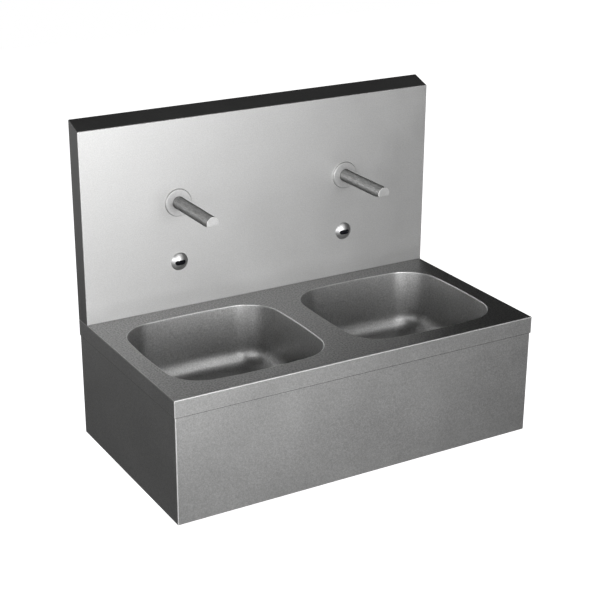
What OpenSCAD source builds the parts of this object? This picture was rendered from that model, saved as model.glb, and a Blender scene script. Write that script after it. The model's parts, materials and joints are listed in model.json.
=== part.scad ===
/* [Deck] */
// Width of the deck, left to right
deck_w = 900; // [840:2:1000]
// Depth of the deck in front of the splashback
deck_d = 446; // [420:2:500]
// Height of the turned-down rim of the deck
rim_h = 40; // [36:1:60]
// Thickness of the folded steel sheet
sheet_t = 1.5; // [1:0.1:1.8]
// Outer radius of the folded edges
edge_r = 2; // [1.9:0.1:4]

/* [Splashback] */
// Height of the front panel above the deck
splash_h = 444; // [400:2:520]
// Depth of the splashback box, wall to front panel
splash_d = 48; // [47:1:60]
// Rise of the sloped top from front to wall
splash_rise = 17; // [8:1:30]
// Height of the flange that lies on the wall behind the top
wall_flange_h = 20; // [10:1:40]

/* [Bowls] */
// Depth of a bowl from the deck to its floor
bowl_depth = 155; // [140:1:156]
// Space between a bowl and the side of the deck
bowl_side_margin = 44; // [42:1:60]
// Space between the two bowls
bowl_middle_gap = 64; // [56:2:90]
// Space between a bowl and the front of the deck
bowl_front_margin = 44; // [40:1:60]
// Space between the front panel and a bowl
bowl_back_margin = 58; // [50:1:70]
// Corner radius of a bowl opening
bowl_corner_r = 90; // [75:1:110]
// Radius of the rolled lip
bowl_lip_r = 4; // [3:0.5:6]
// Radius between the wall and the floor of a bowl
bowl_floor_r = 42; // [30:1:50]
// Lean of the bowl walls in degrees
bowl_draft = 3; // [1:0.5:5]
// Thickness of the bowl sheet
bowl_t = 1.2; // [0.8:0.1:1.5]
// Radius of the dish around the waste
dish_r = 38; // [36:1:50]
// Depth of the dish around the waste
dish_depth = 3; // [2.6:0.2:5]

/* [Apron] */
// Height from the deck to the bottom of the apron
body_h = 285; // [284:1:340]
// Space between the rim and the apron behind it
apron_gap = 0.5; // [0.3:0.1:1]
// Distance from the deck down to the top of the apron
apron_top_drop = 12; // [6:1:24]
// Width of the return folded in at the bottom of the apron
apron_return = 25; // [22:1:40]
// Leg of the angle rail behind the top of the apron
rail_leg = 25; // [15:1:30]
// Thickness of the angle rail
rail_t = 2; // [1.5:0.5:3]

/* [Wall brackets] */
// Width of the bracket legs
bracket_w = 34; // [30:1:34]
// Thickness of the upright against the wall
upright_t = 6; // [4:1:6]
// Thickness of the arm, the web and the foot
arm_t = 4; // [3:0.5:5]
// Distance from the front of the deck back to the end of the arms
arm_front_gap = 64; // [50:1:120]
// Height of the upper wall holes above the deck
wall_hole_z = 240; // [200:5:260]
// Radius of the wall holes
wall_hole_r = 5.5; // [4.5:0.5:7]
// Depth of the web at the wall
web_h = 190; // [120:5:200]
// Length of the foot, from the wall
foot_len = 60; // [50:1:80]

/* [Spouts] */
// Reach of a spout in front of the panel
spout_reach = 172.5; // [140:0.5:220]
// Outer radius of a spout
spout_r = 14.6; // [13:0.2:16]
// Wall of a spout
spout_wall = 1.8; // [1.2:0.2:2.4]
// Height of the spouts above the deck
spout_z = 253; // [220:1:300]
// Radius of the round flange
flange_r = 32; // [28:1:38]
// Thickness of the round flange
flange_t = 5.5; // [4:0.5:8]
// Length of the slanted flat under the tip
tip_len = 34; // [28:1:44]
// Depth of the slanted flat at the end face
tip_depth = 9; // [7:0.5:11]
// Radius of the water outlet
outlet_r = 6; // [4:0.5:7]

/* [Sensors] */
// Height of the sensors above the deck
sensor_z = 112; // [90:1:130]
// Radius of the domed sensor cover
dome_r = 21.2; // [18:0.2:24]
// Height of the dome in front of the panel
dome_h = 8; // [6:0.5:11]
// Width of the dark window
window_w = 26; // [20:1:28]
// Height of the dark window
window_h = 9.5; // [7:0.5:11]
// Distance of the window below the middle of the dome
window_drop = 1; // [0:0.5:2]

/* [Waste and trap] */
// Outer radius of the waste thread
waste_r = 20.95; // [19:0.05:21.5]
// Radius of the waste flange in the dish
waste_flange_r = 33; // [32:0.5:34]
// Radius of the outlet pipe to the wall
pipe_r = 16; // [15:0.5:17]
// Distance from the deck down to the middle of the outlet pipe
pipe_drop = 212; // [210:1:214]
// Outer radius of the trap cup
cup_r = 32; // [31:1:40]
// Distance from the cup down to the bottom of the apron
cup_clear = 3; // [1:0.5:10]

/* [Water supply] */
// Outer radius of the inlet thread
inlet_r = 10.48; // [8:0.01:13]
// Length of the inlet thread
inlet_len = 18; // [12:1:24]
// Radius of the flexible hose
hose_r = 6; // [5:0.5:7]
// Bend radius of the flexible hose
hose_bend_r = 30; // [26:1:40]
// Distance from the spout axis to the end of the hose elbow
elbow_reach = 32; // [30:1:38]
// Distance of the supply line from the wall
supply_y = 28; // [27:0.5:29]
// Height of the lower hose end below the deck
hose_drop = 68; // [60:1:72]
// Travel of the valve plunger
plunger_travel = 2.5; // [1.5:0.5:4]
// Turns of the plunger spring
spring_turns = 8; // [5:1:10]
// Radius of the ball in the stop valve
ball_r = 11; // [9:0.5:11.5]
// Length of the stop lever from its stem
lever_len = 60; // [40:1:70]

/* [Control box] */
// Width of the control box
box_w = 120; // [110:2:130]
// Height of the control box
box_h = 100; // [96:1:104]
// Wall of the control box
box_wall = 2.5; // [2:0.5:3]

/* [Hidden] */
$fn = 96;
slack = 1;
fit_gap = 0.1;
running_gap = 0.05;
free_gap = 0.3;

panel_y = -splash_d;
front_y = -splash_d - deck_d;
bowl_w = deck_w / 2 - bowl_side_margin - bowl_middle_gap / 2;
bowl_d = deck_d - bowl_front_margin - bowl_back_margin;
bowl_x = (bowl_middle_gap + bowl_w) / 2;
bowl_y = panel_y - bowl_back_margin - bowl_d / 2;
rim_inner_x = deck_w / 2 - sheet_t;
rim_inner_y = front_y + sheet_t;
apron_x = rim_inner_x - apron_gap;
apron_y = rim_inner_y + apron_gap;
apron_inner_x = apron_x - sheet_t;
apron_inner_y = apron_y + sheet_t;

// Bowl section, measured inwards from the opening edge
wall_start_z = -bowl_lip_r * (1 - sin(bowl_draft));
floor_arc_z = bowl_floor_r - bowl_depth;
wall_end_z = floor_arc_z - bowl_floor_r * sin(bowl_draft);
floor_arc_u = -bowl_lip_r * cos(bowl_draft) - (wall_start_z - wall_end_z) * tan(bowl_draft)
  - bowl_floor_r * cos(bowl_draft);
lip_steps = 5;
floor_steps = 12;
floor_lap = 4;
side_len_x = bowl_w - 2 * bowl_corner_r;
side_len_y = bowl_d - 2 * bowl_corner_r;

// Deck openings for pipes and cables, behind the panel
service_margin = 20;
service_front = 8;
service_wall = 4;
notch_gap = 1;

// Wall brackets
bracket_gap = 2.5;
bracket_outer_x = apron_inner_x - bracket_gap;
bracket_inner_x = bracket_outer_x - bracket_w;
leg_mid_x = (bracket_inner_x + bracket_outer_x - arm_t) / 2;
upright_end = 30;
upright_top = wall_hole_z + upright_end;
arm_len = splash_d + deck_d - arm_front_gap;
foot_z = sheet_t - body_h;
arm_front_h = 18;
web_wall_len = 54;
stud_r = 3;
stud_len = 18;
stud_near = 120;
stud_end = 50;
stud_far = arm_len - stud_end;
nut_h = 5;
nut_flats = 10;
apron_screw_x = apron_inner_x - apron_return / 2;
apron_screw_y = 35;
apron_screw_r = 2.45;
apron_screw_head_r = 4.5;
apron_screw_head_h = 2.5;
apron_screw_key = 3;
apron_screw_end = 3;
rail_end_gap = 5;
rail_rim_gap = 2;

// Spout
shank_r = 9;
elbow_r = 8;
elbow_gap = 0.5;
shank_len = splash_d - supply_y - sheet_t - elbow_r - elbow_gap;
shank_bore_r = 5;
spout_plug = 4;
end_chamfer = 1;
spout_nut_flats = 28;
spout_nut_h = 6;
tip_angle = atan(tip_depth / tip_len);
outlet_share = 0.58;
outlet_along = tip_len / cos(tip_angle) * outlet_share;
outlet_len = 8;
outlet_wall = 1.2;
outlet_face_t = 1;
jet_r = 0.9;
flange_edge_r = 2;

// Sensor
dome_sphere_r = (dome_r * dome_r + dome_h * dome_h) / (2 * dome_h);
window_floor = 3.5;
window_sink = 0.2;
barrel_r = 10;
barrel_len = 24;
sensor_nut_flats = 28;
sensor_nut_h = 5;
cable_r = 2;
gland_r = 4;
gland_len = 4;
cable_bend_r = 12;
cable_turn_r = 15;
cable_run_z = -75;

// Waste
strainer_r = 25;
strainer_t = 1.2;
strainer_hole_r = 2.5;
hole_ring_r = 9;
outer_ring_r = 17.5;
strainer_sink = 0.3;
waste_bore_r = 17;
waste_tail = 38;
waste_hole_gap = 1.5;
flange_sink = 0.5;
waste_flange_t = 2.5;
gasket_r = 30;
gasket_t = 3;
waste_nut_flats = 54;
waste_nut_h = 8;
cross_bar_w = 6;
cross_bar_drop = 14;
cross_bar_t = 4;
screw_boss_r = 6;
screw_boss_h = 6;
screw_r = 2.5;
screw_head_r = 4.5;
screw_head_top_r = 3.6;
screw_head_h = 1.2;
dish_under_z = -bowl_depth - dish_depth - bowl_t;
waste_end_z = -bowl_depth - dish_depth - waste_tail;

// Trap
collar_r = 27;
collar_gap = 3;
collar_top_z = dish_under_z - gasket_t - waste_nut_h - collar_gap;
dip_r = 16;
dip_wall = 2;
skirt_r = 25;
skirt_roof_t = 2;
boss_wall = 3.5;
boss_r = pipe_r + boss_wall;
boss_len = 21;
boss_step = 4;
head_end_drop = 9;
head_low_z = -pipe_drop - boss_r - head_end_drop;
cup_top_gap = 2.5;
cup_top_z = -pipe_drop - boss_r - cup_top_gap;
cup_low_z = cup_clear - body_h;
cup_wall = 2.5;
cup_floor_t = 3;
dip_lift = 14;
dip_low_z = cup_low_z + dip_lift;
pipe_wall = 2;
spigot_step = 0.5;
spigot_r = pipe_r - spigot_step;
spigot_gap = 0.5;

// Water line of one side
line_x = bowl_x - elbow_reach - hose_bend_r;
line_y = -supply_y;
hose_top_z = spout_z - hose_bend_r;
elbow_wall = 0.8;
ferrule_wall = 1.5;
ferrule_len = 24;
swivel_flats = 20;
swivel_h = 10;
solenoid_r = 13;
solenoid_h = 50;
solenoid_z = -hose_drop - solenoid_h / 2;
solenoid_neck_r = 12;
coil_seat_gap = 2;
pilot_r = 2;
flow_r = 5;
coil_r = 16;
coil_start = 18;
coil_len = 38;
sleeve_r = 6;
sleeve_bore_r = 4.6;
sleeve_end = 2;
plunger_r = 4.3;
plunger_len = 26;
pocket_r = 3.2;
pocket_depth = 14;
seat_start = 8;
spring_wire_r = 0.5;
spring_steps = 8;
spring_sides = 6;
stop_top_z = -hose_drop - solenoid_h;
stop_drop = 35;
stop_z = stop_top_z - stop_drop;
stop_sphere_r = 18;
stop_neck_r = 10;
stop_hex_flats = 24;
stop_hex_h = 12;
stop_low_neck = 17;
stop_end_z = stop_z - stop_low_neck - stop_hex_h - inlet_len;
stop_bore_r = 6;
stem_r = 4;
stem_boss_r = 8;
stem_boss_len = 26;
stem_end = 2;
lever_t = 4;
lever_w = 12;
hub_r = 8;

// Control box
box_top_z = -20;
box_d = 42.5;
box_front_y = -sheet_t - box_d;
lid_t = 2.5;
lid_lip = 4;
lid_lip_wall = 2;
board_t = 1.6;
board_margin = 10;
board_drop = 4;
board_h = 50;
chip_x = -5;
chip_w = 30;
chip_h = 20;
chip_t = 6;
chip_drop = 14;
terminal_w = 12;
terminal_h = 10;
terminal_t = 10;
terminal_inset = 10;
terminal_lift = 4;
post_r = 3;
post_len = 4;
battery_h = 34;
battery_d = 28;
battery_margin = 15;
battery_gap = 4;
coil_cable_y = 60;
coil_cable_run = 10;
box_gland_len = 6;

function arc(centre, r, start, end, steps) = [
  for (i = [0 : steps])
    centre + r * [cos(start + (end - start) * i / steps), sin(start + (end - start) * i / steps)]
];

module both_sides() {
  children();
  mirror([1, 0, 0]) children();
}

module left() {
  mirror([1, 0, 0]) children();
}

// Places a shape drawn with z out of the panel and y up
module on_panel(z) {
  translate([bowl_x, panel_y, z]) rotate([90, 0, 0]) children();
}

module hex_bar(flats, h) {
  cylinder(r = flats / 2 / cos(30), h = h, $fn = 6);
}

module slab(low, high) {
  translate(low) cube(high - low);
}

// A box seen from one side, with chosen corners rounded
module soft_rect(low, high, r, top_low = true, top_high = true, low_low = false, low_high = false) {
  difference() {
    translate(low) square(high - low);
    if (low_low) corner_cut(low, 1, 1, r);
    if (low_high) corner_cut([high[0], low[1]], -1, 1, r);
    if (top_low) corner_cut([low[0], high[1]], 1, -1, r);
    if (top_high) corner_cut(high, -1, -1, r);
  }
}

module corner_cut(at, dir_x, dir_y, r) {
  translate(at)
    difference() {
      translate([dir_x > 0 ? -slack : -r, dir_y > 0 ? -slack : -r]) square(r + slack);
      translate([dir_x * r, dir_y * r]) circle(r);
    }
}

// Round-cornered outline of a bowl opening, grown outwards
module bowl_outline(grow) {
  r = bowl_corner_r + grow;
  square([bowl_w - 2 * bowl_corner_r, bowl_d + 2 * grow], center = true);
  square([bowl_w + 2 * grow, bowl_d - 2 * bowl_corner_r], center = true);
  for (mx = [-1, 1], my = [-1, 1])
    translate([mx * side_len_x / 2, my * side_len_y / 2]) circle(r);
}

module at_bowl() {
  translate([bowl_x, bowl_y, 0]) children();
}

// Folded shell: a block with rounded front, side and top edges
module deck_block(inset, low_z, r) {
  x = deck_w / 2 - inset;
  y = front_y + inset;
  intersection() {
    translate([0, 0, low_z]) linear_extrude(-inset - low_z)
      soft_rect([-x, y], [x, -inset], r, false, false, true, true);
    rotate([90, 0, 90]) translate([0, 0, -x]) linear_extrude(2 * x)
      soft_rect([y, low_z], [-inset, -inset], r, true, false);
    union() {
      translate([0, panel_y, 0]) rotate([90, 0, 0]) linear_extrude(-y + panel_y)
        soft_rect([-x, low_z], [x, -inset], r);
      slab([-x, panel_y, low_z], [x, -inset, -inset]);
    }
  }
}

module deck() {
  color("silver") {
    difference() {
      deck_block(0, -rim_h, edge_r);
      deck_block(sheet_t, -rim_h - slack, edge_r - sheet_t);
      both_sides() {
        at_bowl() translate([0, 0, -sheet_t - slack]) linear_extrude(sheet_t + 2 * slack) bowl_outline(0);
        slab(
          [bracket_inner_x - notch_gap, -upright_t - notch_gap, -rim_h - slack],
          [rim_inner_x, slack, slack]
        );
        slab(
          [line_x - service_margin, panel_y + service_front, -sheet_t - slack],
          [bowl_x + service_margin, -service_wall, slack]
        );
      }
    }
    both_sides()
      for (y = [-stud_near, -stud_far])
        translate([leg_mid_x, y, -sheet_t - stud_len]) cylinder(r = stud_r, h = stud_len);
  }
}

// Side view of the splashback box; the inset one runs on through the wall plane and the deck
module splash_side(inset, r) {
  slope = splash_rise / splash_d;
  run = inset > 0 ? slack : 0;
  top_front = splash_h - inset * sqrt(1 + slope * slope) + inset * slope;
  top_back = top_front + slope * (splash_d - inset + run);
  round_drop = r * sqrt(1 + slope * slope) - r * slope;
  tangent = r / sqrt(1 + slope * slope);
  polygon([
    [panel_y + inset, -run], [run, -run], [run, top_back],
    [panel_y + inset + r - slope * tangent, top_front - round_drop + tangent],
    [panel_y + inset, top_front - round_drop]
  ]);
  translate([panel_y + inset + r, top_front - round_drop]) circle(r);
}

module splash_block(inset, r) {
  x = deck_w / 2 - inset;
  intersection() {
    rotate([90, 0, 90]) translate([0, 0, -x]) linear_extrude(2 * x) splash_side(inset, r);
    translate([0, 0, -2 * slack])
      linear_extrude(splash_h + splash_rise + 4 * slack)
        soft_rect([-x, panel_y + inset], [x, 2 * slack], r, false, false, true, true);
  }
}

module splashback() {
  color("gainsboro")
    difference() {
      splash_block(0, edge_r);
      difference() {
        splash_block(sheet_t, edge_r - sheet_t);
        slab(
          [-deck_w, -sheet_t, splash_h + splash_rise - wall_flange_h],
          [deck_w, slack, splash_h + splash_rise + slack]
        );
      }
      both_sides() {
        on_panel(spout_z) translate([0, 0, -sheet_t - slack])
          cylinder(r = shank_r + fit_gap, h = sheet_t + 2 * slack);
        on_panel(sensor_z) translate([0, 0, -sheet_t - slack])
          cylinder(r = barrel_r + fit_gap, h = sheet_t + 2 * slack);
      }
    }
}

module bowl_section() {
  lip_centre = [0, -bowl_lip_r];
  floor_centre = [floor_arc_u, floor_arc_z];
  polygon(concat(
    arc(lip_centre, bowl_lip_r, 90, 180 - bowl_draft, lip_steps),
    arc(floor_centre, bowl_floor_r, -bowl_draft, -90, floor_steps),
    [[floor_arc_u - floor_lap, -bowl_depth], [floor_arc_u - floor_lap, -bowl_depth - bowl_t]],
    arc(floor_centre, bowl_floor_r + bowl_t, -90, -bowl_draft, floor_steps),
    arc(lip_centre, bowl_lip_r - bowl_t, 180 - bowl_draft, 90, lip_steps)
  ));
}

// Every stretch uses the section at the corner radius, so that the stretches join exactly
module bowl_side(out, len) {
  translate([out, len / 2, 0])
    rotate([90, 0, 0]) linear_extrude(len) translate([bowl_corner_r, 0]) bowl_section();
}

module bowl() {
  color("silver") {
    for (turn = [0, 180])
      rotate([0, 0, turn]) {
        bowl_side(side_len_x / 2, side_len_y);
        rotate([0, 0, 90]) bowl_side(side_len_y / 2, side_len_x);
        translate([side_len_x / 2, side_len_y / 2, 0])
          rotate_extrude(angle = 90) translate([bowl_corner_r, 0]) bowl_section();
        translate([-side_len_x / 2, side_len_y / 2, 0])
          rotate([0, 0, 90]) rotate_extrude(angle = 90) translate([bowl_corner_r, 0]) bowl_section();
      }
    translate([0, 0, -bowl_depth - bowl_t])
      linear_extrude(bowl_t)
        difference() {
          bowl_outline(floor_arc_u - floor_lap / 2);
          circle(dish_r + floor_lap / 2);
        }
    translate([0, 0, -bowl_depth - bowl_t])
      rotate_extrude()
        polygon([
          [dish_r, 0], [dish_r + floor_lap, 0], [dish_r + floor_lap, bowl_t], [dish_r, bowl_t],
          [dish_r - dish_depth / 2, bowl_t - dish_depth],
          [waste_r + waste_hole_gap, bowl_t - dish_depth], [waste_r + waste_hole_gap, -dish_depth],
          [dish_r - dish_depth / 2 - bowl_t / 2, -dish_depth]
        ]);
  }
}

module front_rail() {
  x = bracket_inner_x - rail_end_gap;
  color("gray") {
    slab([-x, apron_inner_y, -sheet_t - rail_t], [x, apron_inner_y + rail_leg, -sheet_t]);
    slab([-x, apron_inner_y, -rim_h + rail_rim_gap], [x, apron_inner_y + rail_t, -sheet_t]);
  }
}

module apron_block(inset, low_z, high_z, r) {
  x = apron_x - inset;
  y = apron_y + inset;
  intersection() {
    translate([0, 0, low_z]) linear_extrude(high_z - low_z)
      soft_rect([-x, y], [x, inset], r, false, false, true, true);
    rotate([90, 0, 90]) translate([0, 0, -x]) linear_extrude(2 * x)
      soft_rect([y, low_z], [inset, high_z], r, false, false, true);
    translate([0, inset, 0]) rotate([90, 0, 0]) linear_extrude(inset - y)
      soft_rect([-x, low_z], [x, high_z], r, false, false, true, true);
  }
}

module apron() {
  color("silver")
    difference() {
      apron_block(0, -body_h, -apron_top_drop, edge_r);
      apron_block(sheet_t, -body_h + sheet_t, slack, edge_r - sheet_t);
      slab(
        [-apron_inner_x + apron_return, apron_inner_y + apron_return, -body_h - slack],
        [apron_inner_x - apron_return, slack, -body_h + 2 * sheet_t]
      );
      both_sides()
        translate([apron_screw_x, -apron_screw_y, -body_h - slack])
          cylinder(r = apron_screw_r + free_gap, h = sheet_t + 2 * slack);
    }
}

module apron_screw() {
  color("dimgray")
    translate([apron_screw_x, -apron_screw_y, -body_h]) {
      cylinder(r = apron_screw_r, h = sheet_t + arm_t + apron_screw_end);
      translate([0, 0, -apron_screw_head_h])
        difference() {
          cylinder(r = apron_screw_head_r, h = apron_screw_head_h);
          translate([0, 0, -slack]) hex_bar(apron_screw_key, apron_screw_head_h);
        }
    }
}

module wall_bracket() {
  color("gray")
    difference() {
      union() {
        slab([bracket_inner_x, -upright_t, foot_z], [bracket_outer_x, 0, upright_top]);
        slab([bracket_inner_x, -arm_len, -sheet_t - arm_t], [bracket_outer_x, -upright_t, -sheet_t]);
        slab([bracket_inner_x, -foot_len, foot_z], [bracket_outer_x, -upright_t, foot_z + arm_t]);
        translate([bracket_outer_x - arm_t, 0, 0])
          rotate([90, 0, 90])
            linear_extrude(arm_t)
              polygon([
                [-upright_t, -sheet_t - arm_t],
                [-arm_len, -sheet_t - arm_t],
                [-arm_len, -sheet_t - arm_front_h],
                [-web_wall_len, -web_h],
                [-upright_t, -web_h]
              ]);
      }
      for (z = [-wall_hole_z, wall_hole_z])
        translate([leg_mid_x, slack, z]) rotate([90, 0, 0])
          cylinder(r = wall_hole_r, h = upright_t + 2 * slack);
      for (y = [-stud_near, -stud_far])
        translate([leg_mid_x, y, -sheet_t - arm_t - slack])
          cylinder(r = stud_r + free_gap, h = arm_t + 2 * slack);
      translate([apron_screw_x, -apron_screw_y, foot_z - slack])
        cylinder(r = apron_screw_r + fit_gap, h = arm_t + 2 * slack);
    }
}

module deck_nut_pair() {
  color("lightgray")
    for (y = [-stud_near, -stud_far])
      translate([leg_mid_x, y, -sheet_t - arm_t - nut_h])
        difference() {
          hex_bar(nut_flats, nut_h);
          translate([0, 0, -slack]) cylinder(r = stud_r + fit_gap, h = nut_h + 2 * slack);
        }
}

// Frame on the slanted flat under the tip, z pointing out of it
module on_tip_flat() {
  translate([0, -spout_r, spout_reach - tip_len]) rotate([-tip_angle, 0, 0]) rotate([90, 0, 0]) children();
}

module spout_tube() {
  bore_r = spout_r - spout_wall;
  color("silver")
    on_panel(spout_z)
      difference() {
        union() {
          difference() {
            union() {
              cylinder(r = spout_r, h = spout_reach - end_chamfer);
              translate([0, 0, spout_reach - end_chamfer])
                cylinder(r1 = spout_r, r2 = spout_r - end_chamfer, h = end_chamfer);
            }
            translate([0, 0, spout_plug]) cylinder(r = bore_r, h = spout_reach - spout_plug - spout_wall);
          }
          intersection() {
            translate([0, 0, spout_plug])
              cylinder(r = bore_r + spout_wall / 2, h = spout_reach - spout_plug - spout_wall / 2);
            on_tip_flat() translate([-spout_r, -spout_r, -spout_wall])
              cube([2 * spout_r, 3 * spout_r, spout_wall]);
          }
          translate([0, 0, -sheet_t - shank_len]) cylinder(r = shank_r, h = shank_len + sheet_t + slack);
        }
        on_tip_flat() translate([-2 * spout_r, -3 * spout_r, 0])
          cube([4 * spout_r, 7 * spout_r, 2 * spout_r]);
        on_tip_flat() translate([0, outlet_along, -spout_wall - slack])
          cylinder(r = outlet_r + fit_gap, h = spout_wall + 2 * slack);
        translate([0, 0, -sheet_t - shank_len - slack])
          cylinder(r = shank_bore_r, h = shank_len + spout_plug + 2 * slack + sheet_t);
      }
}

module spout_outlet() {
  color("gainsboro")
    on_panel(spout_z)
      on_tip_flat()
        translate([0, outlet_along, -outlet_len])
          difference() {
            cylinder(r = outlet_r, h = outlet_len);
            translate([0, 0, -slack])
              cylinder(r = outlet_r - outlet_wall, h = outlet_len - outlet_face_t + slack);
            for (turn = [0 : 60 : 300])
              rotate([0, 0, turn]) translate([outlet_r / 2, 0, 0])
                cylinder(r = jet_r, h = outlet_len + slack);
            cylinder(r = jet_r, h = outlet_len + slack);
          }
}

module spout_flange() {
  color("gainsboro")
    on_panel(spout_z)
      rotate_extrude()
        difference() {
          translate([spout_r + fit_gap, 0]) square([flange_r - spout_r - fit_gap, flange_t]);
          corner_cut([flange_r, flange_t], -1, -1, flange_edge_r);
        }
}

module spout_nut() {
  color("lightgray")
    on_panel(spout_z)
      translate([0, 0, -sheet_t - spout_nut_h])
        difference() {
          hex_bar(spout_nut_flats, spout_nut_h);
          translate([0, 0, -slack]) cylinder(r = shank_r + fit_gap, h = spout_nut_h + 2 * slack);
        }
}

// Flexible hose with its elbow above and its swivel nut below
module spout_hose() {
  shank_end_y = panel_y + sheet_t + shank_len;
  color("darkgray") {
    translate([bowl_x, shank_end_y, spout_z]) rotate([-90, 0, 0])
      cylinder(r = elbow_r, h = line_y - shank_end_y);
    translate([bowl_x, line_y, spout_z]) sphere(r = elbow_r);
    translate([bowl_x, line_y, spout_z]) rotate([0, -90, 0])
      cylinder(r = hose_r + elbow_wall, h = elbow_reach);
    translate([line_x + hose_bend_r, line_y, hose_top_z])
      rotate([90, 0, 0])
        rotate([0, 0, 90])
          rotate_extrude(angle = 90) translate([hose_bend_r, 0]) circle(hose_r);
    translate([line_x, line_y, -hose_drop]) cylinder(r = hose_r, h = hose_top_z + hose_drop);
    translate([line_x, line_y, -hose_drop]) hex_bar(swivel_flats, swivel_h);
    translate([line_x, line_y, -hose_drop]) cylinder(r = hose_r + ferrule_wall, h = ferrule_len);
  }
}

module dome_ball(shrink) {
  translate([0, 0, dome_h - dome_sphere_r]) sphere(r = dome_sphere_r - shrink, $fn = 128);
}

module window_prism(shrink, low, high) {
  end_r = window_h / 2 - shrink;
  translate([0, -window_drop, low])
    linear_extrude(high - low) {
      square([window_w - window_h, 2 * end_r], center = true);
      for (side = [-1, 1])
        translate([side * (window_w - window_h) / 2, 0]) circle(end_r);
    }
}

module sensor_dome() {
  color("whitesmoke")
    on_panel(sensor_z) {
      difference() {
        intersection() {
          dome_ball(0);
          cylinder(r = dome_r + slack, h = dome_h + slack);
        }
        window_prism(0, window_floor, dome_h + slack);
      }
      translate([0, 0, -barrel_len]) cylinder(r = barrel_r, h = barrel_len);
      translate([0, 0, -barrel_len - gland_len]) cylinder(r = gland_r, h = gland_len);
    }
}

module sensor_window() {
  color("black")
    on_panel(sensor_z)
      intersection() {
        dome_ball(window_sink);
        window_prism(fit_gap, window_floor, dome_h + slack);
      }
}

module sensor_nut() {
  color("lightgray")
    on_panel(sensor_z)
      translate([0, 0, -sheet_t - sensor_nut_h])
        difference() {
          hex_bar(sensor_nut_flats, sensor_nut_h);
          translate([0, 0, -slack]) cylinder(r = barrel_r + fit_gap, h = sensor_nut_h + 2 * slack);
        }
}

module quarter_bend(bend_r, tube_r) {
  rotate_extrude(angle = 90) translate([bend_r, 0]) circle(tube_r, $fn = 24);
}

module sensor_cable() {
  start_y = panel_y + barrel_len + gland_len;
  down_y = start_y + cable_bend_r;
  color("dimgray") {
    translate([bowl_x, start_y, sensor_z - cable_bend_r]) rotate([90, 0, 90])
      quarter_bend(cable_bend_r, cable_r);
    translate([bowl_x, down_y, cable_run_z + cable_turn_r])
      cylinder(r = cable_r, h = sensor_z - cable_bend_r - cable_run_z - cable_turn_r, $fn = 24);
    translate([bowl_x - cable_turn_r, down_y, cable_run_z + cable_turn_r])
      rotate([90, 0, 0]) rotate([0, 0, -90]) quarter_bend(cable_turn_r, cable_r);
    translate([box_w / 2 + box_gland_len, down_y, cable_run_z])
      rotate([0, 90, 0])
        cylinder(r = cable_r, h = bowl_x - cable_turn_r - box_w / 2 - box_gland_len, $fn = 24);
  }
}

module waste_body() {
  top_z = -bowl_depth - flange_sink;
  seat_z = -bowl_depth - dish_depth;
  color("silver")
    at_bowl() {
      difference() {
        union() {
          translate([0, 0, seat_z]) cylinder(r = waste_flange_r, h = top_z - seat_z);
          translate([0, 0, waste_end_z]) cylinder(r = waste_r, h = waste_tail + slack / 2);
        }
        translate([0, 0, waste_end_z - slack])
          cylinder(r = waste_bore_r, h = waste_tail + 2 * slack + dish_depth);
        translate([0, 0, top_z - strainer_t - strainer_sink])
          cylinder(r = strainer_r + fit_gap, h = waste_flange_t + slack);
      }
      translate([0, 0, seat_z - cross_bar_drop]) {
        intersection() {
          translate([-waste_bore_r - slack, -cross_bar_w / 2, 0])
            cube([2 * waste_bore_r + 2 * slack, cross_bar_w, cross_bar_t]);
          cylinder(r = waste_bore_r + slack, h = cross_bar_t);
        }
        difference() {
          cylinder(r = screw_boss_r, h = screw_boss_h);
          translate([0, 0, cross_bar_t]) cylinder(r = screw_r + fit_gap, h = screw_boss_h);
        }
      }
    }
}

module strainer() {
  color("gainsboro")
    at_bowl()
      translate([0, 0, -bowl_depth - flange_sink - strainer_t - strainer_sink])
        difference() {
          cylinder(r = strainer_r, h = strainer_t);
          translate([0, 0, -slack]) cylinder(r = screw_r + fit_gap, h = strainer_t + 2 * slack);
          for (turn = [0 : 60 : 300])
            rotate([0, 0, turn]) translate([hole_ring_r, 0, -slack])
              cylinder(r = strainer_hole_r, h = strainer_t + 2 * slack);
          for (turn = [15 : 30 : 345])
            rotate([0, 0, turn]) translate([outer_ring_r, 0, -slack])
              cylinder(r = strainer_hole_r, h = strainer_t + 2 * slack);
        }
}

module strainer_screw() {
  plate_top = -bowl_depth - flange_sink - strainer_sink;
  low_z = -bowl_depth - dish_depth - cross_bar_drop + cross_bar_t;
  color("lightgray")
    at_bowl() {
      translate([0, 0, plate_top]) cylinder(r1 = screw_head_r, r2 = screw_head_top_r, h = screw_head_h);
      translate([0, 0, low_z]) cylinder(r = screw_r, h = plate_top - low_z);
    }
}

module waste_gasket() {
  color("black")
    at_bowl()
      translate([0, 0, dish_under_z - gasket_t])
        difference() {
          cylinder(r = gasket_r, h = gasket_t);
          translate([0, 0, -slack]) cylinder(r = waste_r + fit_gap, h = gasket_t + 2 * slack);
        }
}

module waste_nut() {
  color("lightgray")
    at_bowl()
      translate([0, 0, dish_under_z - gasket_t - waste_nut_h])
        difference() {
          hex_bar(waste_nut_flats, waste_nut_h);
          translate([0, 0, -slack]) cylinder(r = waste_r + fit_gap, h = waste_nut_h + 2 * slack);
        }
}

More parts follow.
